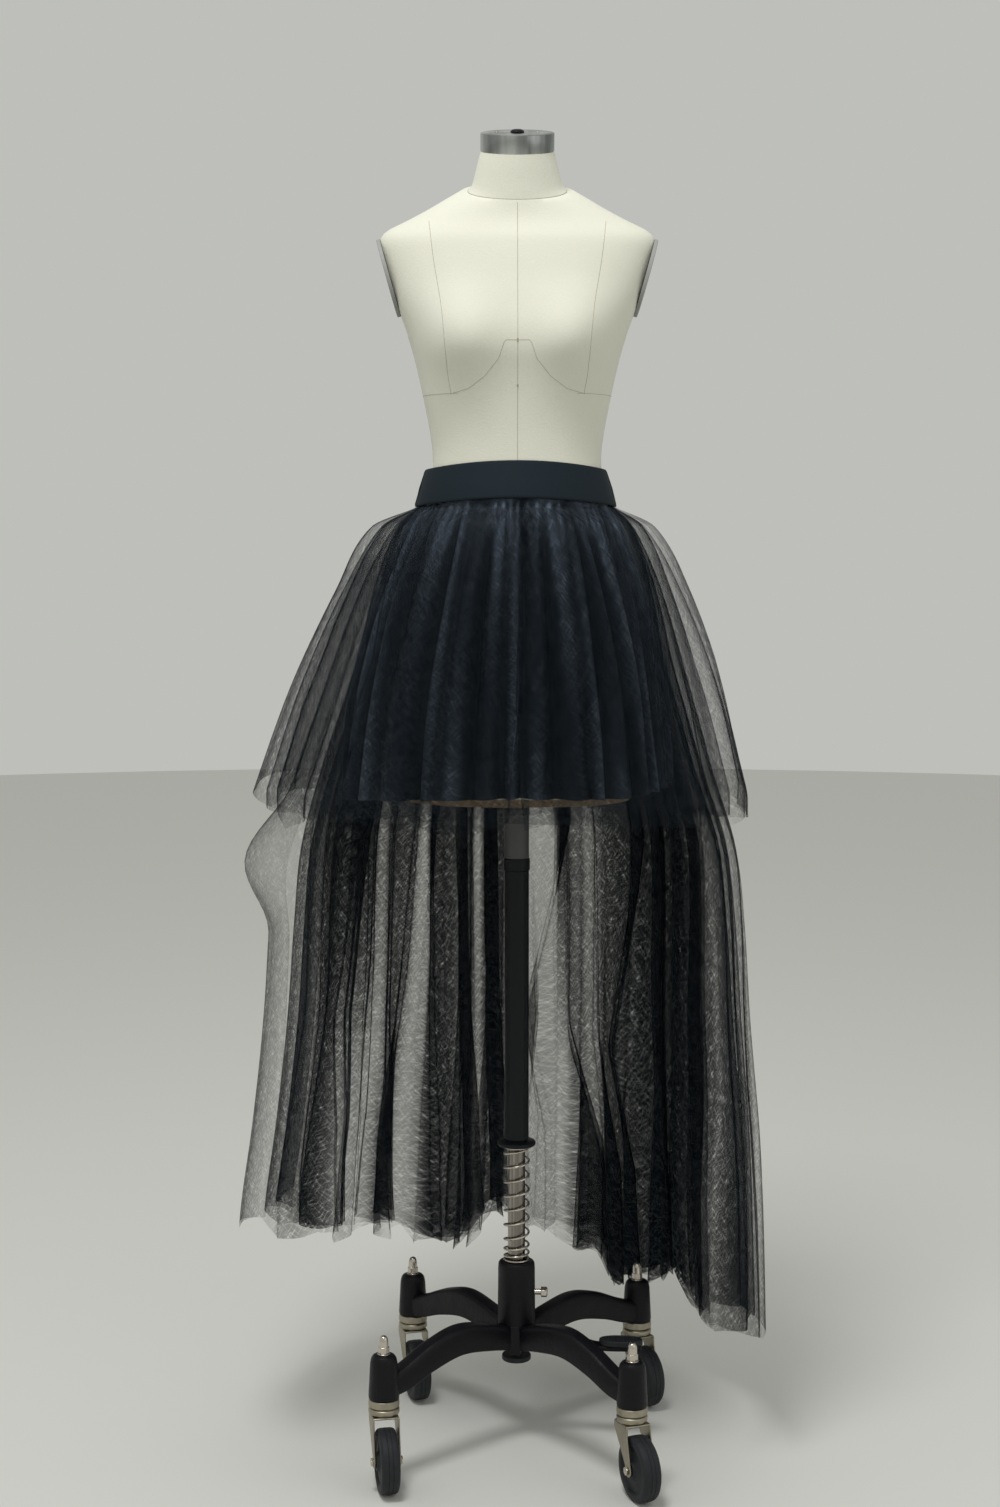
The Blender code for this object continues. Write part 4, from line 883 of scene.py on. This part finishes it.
for name, node, troughs, wide, band in (
        ("lining_of_front", "lining_front", FRONT_TROUGHS, 0.7, "band_front"),
        ("lining_of_back", "lining_back", back_troughs, 0.8, "band_back")):
    at_trough = np.linspace(0, len(troughs) - 1, (len(troughs) - 1) * PER_RIDGE + 1)
    share = np.linspace(0.0, 1.0, 60)[:, None] ** 1.25
    top_angle, hem_angle, deep = (np.interp(at_trough, range(len(troughs)), column)
                                  for column in zip(*troughs))
    angles = top_angle + (hem_angle - top_angle) * share
    seam = SEAM_TOP - dip(angles)
    hem = smooth(LINING_HEM, angles % 360)[0]
    levels = seam + (hem - seam) * share
    drop = seam - levels
    crown = 1.0 - np.abs(np.cos(math.pi * at_trough)) ** 3      # nought in a trough
    swell = np.minimum(1.0, drop / 0.13) * (1 + 0.3 * np.sin(13 * levels + 2.1 * at_trough))
    ripple = 0.0016 * np.sin(at_trough * 5.1 + levels * 23)
    gather = gathers(angles, drop, 60, 1.0, 0.05)
    out = swell * ((crown - 0.6) * deep + ripple) + 0.0022 * gather
    grid = on_section(LINING, angles, levels, out)
    # painted shade and highlight for the satin's colour: darker into each trough, lighter on the
    # ridges and the waist's gathers, and dimmer towards the hem
    painted_trough_shade = (1.0 - crown) * np.minimum(1.0, deep / 0.02) * np.minimum(1.0, drop / 0.06)
    rise = (1.0 - painted_trough_shade + 0.4 * gather) * (0.74 + 0.26 * np.sin(2.3 * at_trough + 9 * levels))
    rise = np.maximum(0.0, rise * (1.14 - 0.2 * share))
    cloth(name, grid, satin, (node,), rise)

# ---- short tulle ------------------------------------------------------------------
# Gathered rings of fine black net that hang from the band's lower edge, cut with raw
# hems: a single outer ring over an inner one of two thicknesses.


def net(name, through):
    """Fine net that lets a share of the light through, less where it is seen aslant."""
    finish = Finish(name, "black_tulle", (0.0085, 0.012, 0.017), 0.7, Specular_IOR_Level=0.0)
    facing = 1.0 - finish.node("LayerWeight", out=1, Blend=0.5)
    thread = finish.node("UVMap", {"uv_map": "cloth"})
    # these lines thin the net and also carry painted highlights, where threads would catch the light
    thin_lines_and_painted_glints = 0.0                 # short lines on three slants, where threads catch the light
    for lean, long in ((0.5, 55.0), (-0.7, 44.0), (1.1, 60.0)):
        leaning = finish.node("Mapping", (), (thread,), Rotation=(0.0, 0.0, lean))
        light_line = (finish.noise(1.0, 0.0, (440.0, long, 1.0), leaning) - 0.56) * 8.0
        thin_lines_and_painted_glints = thin_lines_and_painted_glints + light_line.within(0.0, 1.0)
    count = finish.node("SeparateXYZ", (), (finish.node("UVMap", {"uv_map": "weight"}),))
    held_back = 1.12 * count * (1.0 - 0.4 * thin_lines_and_painted_glints) / facing.within(0.1, 1.0)
    finish.set(Alpha=1.0 - through ** held_back)
    # painted highlight: the base colour is lighter along the lines
    finish.shade(thin_lines_and_painted_glints.within(0.0, 1.0), (0.0045, 0.007, 0.0105), (0.03, 0.036, 0.042))
    return finish


outer_net = net("black tulle, outer", 0.85)
under_net = net("black tulle, under", 0.8)
SHORT_INNER = (
    (1.2850, 0.1332, 0.1297, 0.0999, 0.1047),
    (1.2600, 0.1790, 0.1690, 0.1480, 0.1660),
    (1.1800, 0.2270, 0.2120, 0.1850, 0.2260),
    (1.0500, 0.2840, 0.2600, 0.2140, 0.2820),
    (0.9100, 0.3310, 0.2960, 0.2340, 0.3220),
)
SHORT_OUTER = (
    (1.2850, 0.1346, 0.1311, 0.1013, 0.1061),
    (1.2600, 0.1950, 0.1820, 0.1580, 0.1780),
    (1.1800, 0.2420, 0.2270, 0.1970, 0.2420),
    (1.0500, 0.3040, 0.2740, 0.2280, 0.3000),
    (0.9100, 0.3560, 0.3120, 0.2480, 0.3420),
)
SHORT_INNER_HEM = ((0, 0.893), (60, 0.88), (120, 0.872), (180, 0.88),
                   (250, 0.905), (300, 0.88), (360, 0.893))
SHORT_OUTER_HEM = ((0, 0.908), (60, 0.892), (95, 0.884), (180, 0.89),
                   (265, 0.926), (310, 0.9), (360, 0.908))
HIGH = 0.80                       # three heights at which the folds are placed
MID = 0.46
LOW = 0.27
PER_FOLD = 8                      # columns of points to a fold
TOP_WEIGHT = 0.4                  # share of the net's weight at the waist seam
CROWDING = 13.0                   # degrees that folds are shifted to front and back


def folds(stations, levels):
    """The turning places of folds at other heights: rows of heights, columns of folds.

    A station is its angle at three heights, then how far the cloth swings out, or in,
    between it and the next.
    """
    high, mid, low, swing = (np.array(column) for column in zip(*stations))
    heights = levels[:, None]
    to_high = np.interp(heights, (MID, HIGH), (0.0, 1.0))
    to_low = np.interp(heights, (LOW, MID), (1.0, 0.0))
    return mid + (high - mid) * to_high + (low - mid) * to_low, swing


def thicknesses(fullness, angles, levels):
    """How many thicknesses lie at each place, by a table for two heights."""
    key_high, key_mid, plies_high, plies_mid = (np.array(column) for column in zip(*fullness))
    weight = np.empty_like(levels)
    for row in range(len(levels)):
        fall = np.interp(levels[row].mean(), (LOW, MID, HIGH), (1.3, 1.0, 0.0))
        plies = plies_high + (plies_mid - plies_high) * min(fall, 1.0)
        weight[row] = np.interp(angles[row] % 360.0, key_high + (key_mid - key_high) * fall, plies)
    return weight


def ply(name, finish, nodes, table, inset, stations, hem_table, ragged, lift, seed,
        fullness, wander=0.8, bulge=None, edge=1.0):
    """One thickness of gathered net between its first and last station.

    Its folds stray by a wander in degrees.  An edge of 1 crowds the cloth at the turning
    places and one of 0 spreads it evenly.
    """
    rng = np.random.default_rng(seed)
    share = np.linspace(0.0, 1.0, 76) ** 1.15
    foot = min(row[1] for row in hem_table)
    places, swing = folds(stations, np.interp(share, (0, 1), (SEAM_TOP, foot)))
    share = share[:, None]
    count = len(swing)
    phase = rng.uniform(0, 6.28, (2, count))
    places = places + share * wander * (
        np.sin(6 * share + phase[0]) + 0.3 * np.sin(17 * share + phase[1])
        + 3.2 * share ** 5 * np.cos(phase[1]))
    along = np.linspace(0, count - 1, (count - 1) * PER_FOLD + 1)
    fold = np.minimum(along.astype(int), count - 2)
    t = along - fold
    eased = t + edge * ((1 - np.cos(math.pi * t)) / 2 - t)
    angles = places[:, fold] + (places[:, fold + 1] - places[:, fold]) * eased
    jag = rng.uniform(-ragged, ragged, count)
    hem = smooth(hem_table, angles[-1] % 360.0)[0] + lift + np.interp(along, range(count), jag)
    seam = SEAM_TOP - dip(angles)
    levels = seam + (hem - seam) * share
    drop = seam - levels
    swing = np.where(fold % 2 == 0, 1.0, -1.0) * swing[fold]
    breath = 1 + 0.25 * np.sin(9 * levels + phase[0][fold])
    out = np.minimum(1.0, drop / 0.3) * swing * np.sin(math.pi * t) * breath
    out = out + np.interp(angles % 360.0, *zip(*inset)) * np.minimum(1.0, drop / 0.2)
    out = out + gathers(angles, drop, 80, 0.003, 0.035)
    if bulge is not None:
        turn_middle, turn_span, level, rise_span, depth = bulge
        turn = np.clip((angles % 360.0 - turn_middle) / turn_span, -1, 1)
        rise = np.clip((levels - level) / rise_span, -1, 1)
        out = out + depth * (np.cos(turn * math.pi / 2) * np.cos(rise * math.pi / 2)) ** 2
    grid = on_section(table, angles, levels, out)
    weight = thicknesses(fullness, angles, levels)
    weight = weight * (TOP_WEIGHT + (1 - TOP_WEIGHT) * np.minimum(1.0, drop / 0.08))
    return cloth(name, grid, finish, nodes, weight)


def ring_folds(count, swing, seed):
    """Folds all round a ring, uneven, closer in front and behind than at the sides."""
    rng = np.random.default_rng(seed)
    steps = rng.uniform(0.6, 1.4, count)
    turns = np.concatenate(((0.0,), np.cumsum(steps / steps.sum() * 360.0)))
    turns = turns - CROWDING * np.sin(np.radians(2 * turns))
    sizes = swing * rng.uniform(0.55, 1.25, count + 1)
    return [(a, a, a, s) for a, s in zip(turns, sizes)]


# thicknesses round a short ring: more where it is gathered close in front and behind
SHORT_FULLNESS = [(turn, turn, plies, plies) for turn, plies in (
    (0, 1.8), (40, 1.8), (62, 0.7), (120, 0.6), (180, 1.4), (240, 0.9), (298, 1.0), (320, 1.8),
    (360, 1.8))]
for name, node, finish, table, inset, count, swing, hem_table, ragged, lift, wide, seed in (
        ("short_ring_outer", "short_tulle_outer", outer_net, SHORT_OUTER,
         ((0, 0.0), (65, 0.009), (115, 0.009), (150, 0.0), (360, 0.0)), 20, 0.01,
         SHORT_OUTER_HEM, 0.009, 0.0, 1.95, 11),
        ("short_ring_middle", "short_tulle_inner", outer_net, SHORT_INNER,
         ((0, 0.0), (360, 0.0)), 18, 0.011,
         SHORT_INNER_HEM, 0.016, 0.0, 1.9, 12),
        ("short_ring_under", "short_tulle_inner", under_net, SHORT_INNER,
         ((0, -0.012), (360, -0.012)), 22, 0.009,
         SHORT_INNER_HEM, 0.015, -0.01, 1.95, 13)):
    ply(name, finish, (node,), table, inset, ring_folds(count, swing, seed), hem_table, ragged,
        lift, seed, SHORT_FULLNESS, edge=0.8)

# ---- train ------------------------------------------------------------------------
# Three thicknesses of the same net from side to side round the back, open in front.
# Heavier folds hang where they were gathered close; the raw hem falls in points.

LONG_TULLE = (
    (1.2850, 0.1318, 0.1283, 0.0990, 0.1033),
    (1.2600, 0.1620, 0.1540, 0.1320, 0.1480),
    (1.1800, 0.2070, 0.1920, 0.1680, 0.2060),
    (1.0500, 0.2550, 0.2300, 0.1980, 0.2620),
    (0.9300, 0.2960, 0.2640, 0.2180, 0.3020),
    (0.8300, 0.3220, 0.2960, 0.2320, 0.3240),
    (0.7300, 0.3320, 0.3080, 0.2420, 0.3400),
    (0.6000, 0.3420, 0.3160, 0.2520, 0.3560),
    (0.4500, 0.3600, 0.3280, 0.2620, 0.3700),
    (0.3200, 0.3780, 0.3340, 0.2700, 0.3820),
    (0.1500, 0.3880, 0.3400, 0.2760, 0.3920),
)
LONG_HEM = (
    (66, 0.215), (78, 0.185), (90, 0.165), (100, 0.13), (113, 0.1), (122, 0.088), (128, 0.122),
    (133, 0.15), (137, 0.138), (142, 0.116), (148, 0.11), (152, 0.108), (157, 0.16),
    (163, 0.154), (170, 0.172), (176, 0.181), (184, 0.199), (189, 0.18), (194, 0.163),
    (200, 0.171), (207, 0.19), (212, 0.199), (216, 0.21), (226, 0.213), (235, 0.215),
    (245, 0.24), (255, 0.28), (270, 0.322), (290, 0.35), (296, 0.352))
# a puff at the left: where round and how wide in degrees, where up and how tall, depth
CURL = (274.0, 36.0, 0.815, 0.105, 0.04)
# where net is gathered close: degrees at 0.80 m and at 0.46 m, thicknesses there
FULLNESS = (
    (66, 66, 0.8, 0.8), (90, 90, 1, 1), (104, 106, 1.4, 1.5),
    (117, 122, 1.9, 2), (121.5, 126.5, 2.1, 2.2), (123.5, 128.5, 5, 5),
    (143, 146, 5, 5), (153.5, 155, 4, 4.6), (156, 157, 1.8, 2),
    (159.5, 160.5, 1.8, 2), (161, 161.5, 2.6, 2.8), (164, 164.8, 2.8, 2.4),
    (165.3, 166, 3.6, 1.3), (167.2, 168, 3.6, 1), (168.2, 169, 0.8, 1.2),
    (176.5, 176.8, 0.7, 1.2), (182.3, 182.5, 1.5, 2), (183.5, 183, 4.6, 4.6),
    (187.8, 187.2, 4.6, 4.6), (189.2, 188.6, 1.2, 1.8), (190.8, 190.2, 1.4, 2),
    (191.8, 191, 4.6, 4.6), (194.5, 193.5, 3, 3.4), (198, 197, 4.6, 4.6),
    (202.6, 201.2, 4.6, 4.6), (203.4, 203.5, 1, 1.8), (204.6, 207, 0.9, 1),
    (206.6, 209.5, 2, 1.3), (208, 211.5, 3.6, 2.8), (214, 213.6, 3.8, 3.2),
    (215.2, 214.6, 4.6, 3.2), (216.4, 216, 2.6, 1.4), (217.6, 218.6, 2.2, 0.7),
    (219, 220.2, 2.1, 0.7), (221.5, 222.5, 3.2, 1.2), (224, 225, 5, 1.6),
    (232, 231, 5, 2.2), (240, 238, 5, 3.2), (245, 243, 2, 2),
    (248, 247, 0.9, 0.9), (296, 296, 0.8, 0.8))
# turning places of the folds: degrees at 0.80, 0.46 and 0.27 m, swing to the next
STATIONS = (
    (66, 66, 66, 0.004), (79, 82, 86, 0.005), (92, 98, 94, 0.004),
    (108, 112, 116.5, 0.004),
    (122.8, 127.8, 129.2, 0.009), (118.5, 123.5, 126, 0.006), (129, 133.5, 135, 0.009),
    (137, 140, 141.5, 0.01), (133.5, 137, 138.5, 0.006), (145, 147.5, 148.5, 0.009),
    (141, 153.5, 147.5, 0.006), (154, 155.4, 156, 0.007), (156.6, 157.6, 153, 0.005),
    (161, 161.6, 160.5, 0.006), (165.5, 165.6, 156.5, 0.005), (167.8, 168.6, 168, 0.006),
    (163.8, 177, 171, 0.005), (176, 174, 178.5, 0.005), (183.2, 183, 182.8, 0.006),
    (187.8, 187.2, 187, 0.006), (185, 184.8, 184.4, 0.004), (191.6, 190.6, 190.2, 0.007),
    (195.4, 194, 193.2, 0.006), (192.8, 191.6, 191, 0.004), (199, 198, 195.5, 0.007),
    (203, 201.4, 200.2, 0.006), (200.8, 205.2, 206.5, 0.005), (207.2, 210.4, 212.6, 0.006),
    (211, 212.4, 211, 0.006), (214.9, 214, 213, 0.006), (218.6, 217.2, 216, 0.005),
    (221.5, 221, 219, 0.007), (226.5, 225.6, 223.5, 0.008), (223.6, 229.2, 226, 0.006),
    (234, 233, 230, 0.006), (244, 241, 243, 0.004), (258, 254, 250, 0.003),
    (276, 274, 271, 0.003), (296, 296, 296, 0.003))
train_outer = net("train tulle, outer", 0.87)
train_middle = net("train tulle, middle", 0.8)
train_inner = net("train tulle, inner", 0.72)


def lined_up(angle, spread):
    """The angle at which an inner ply shows in line with the outer one's, from the front."""
    away = angle - 180.0
    return angle + spread * away * min(1.0, max(0.0, (80.0 - abs(away)) / 20.0))


TRAIN_RAGGED = 0.022
TRAIN_WANDER = 1.1
TRAIN_NODES = ("long_tulle_back", "long_tulle_left", "long_tulle_right")
for name, finish, inset, shift, spread, lift, wide, seed in (
        ("train_outer", train_outer, ((0, 0.0), (360, 0.0)), 0.0, 0.0, 0.0, 2.05, 21),
        ("train_middle", train_middle,
         ((0, -0.012), (200, -0.014), (235, -0.033), (300, -0.033)), 0.35, 0.04, 0.01, 1.95, 22),
        ("train_inner", train_inner,
         ((0, -0.022), (200, -0.026), (235, -0.047), (300, -0.047)), -0.35, 0.08, 0.024, 1.9, 23)):
    moved = [(*(lined_up(a, spread) + shift for a in places), swing)
             for *places, swing in STATIONS]
    thick = [(lined_up(a, spread), lined_up(b, spread), c, d) for a, b, c, d in FULLNESS]
    ply(name, finish, TRAIN_NODES, LONG_TULLE, inset, moved, LONG_HEM, TRAIN_RAGGED, lift,
        seed, thick, TRAIN_WANDER, CURL if name == "train_outer" else None)

# ---- studio -----------------------------------------------------------------------
# A pale floor and an even pale surround, with a broad key light above in front and a
# weak fill from the right.

floor_finish = Finish("pale floor", None, (0.72, 0.72, 0.69), 0.8)
floor = add("floor", bpy.data.meshes.new("floor"))
bm = bmesh.new()
bmesh.ops.create_circle(bm, cap_ends=True, segments=96, radius=9.0)
bm.to_mesh(floor.data)
bm.free()
floor.data.materials.append(floor_finish.material)
surround = bpy.data.worlds.new("surround")
surround.use_nodes = True
background = surround.node_tree.nodes["Background"].inputs
background["Color"].default_value = (0.515, 0.521, 0.491, 1.0)
background["Strength"].default_value = 1.0
scene.world = surround
for name, power, size, spot, aim in (
        ("key", 67.0, 1.1, (-0.6, -1.5, 4.1), (0.0, 0.0, 1.1)),
        ("fill", 6.0, 2.4, (2.2, -1.8, 1.7), (0.0, 0.0, 1.0))):
    lamp = bpy.data.lights.new(name, 'AREA')
    lamp.shape = 'DISK'
    lamp.size = size
    lamp.energy = power
    light = add(name, lamp)
    light.location = spot
    light.rotation_euler = (Vector(aim) - Vector(spot)).to_track_quat('-Z', 'Y').to_euler()
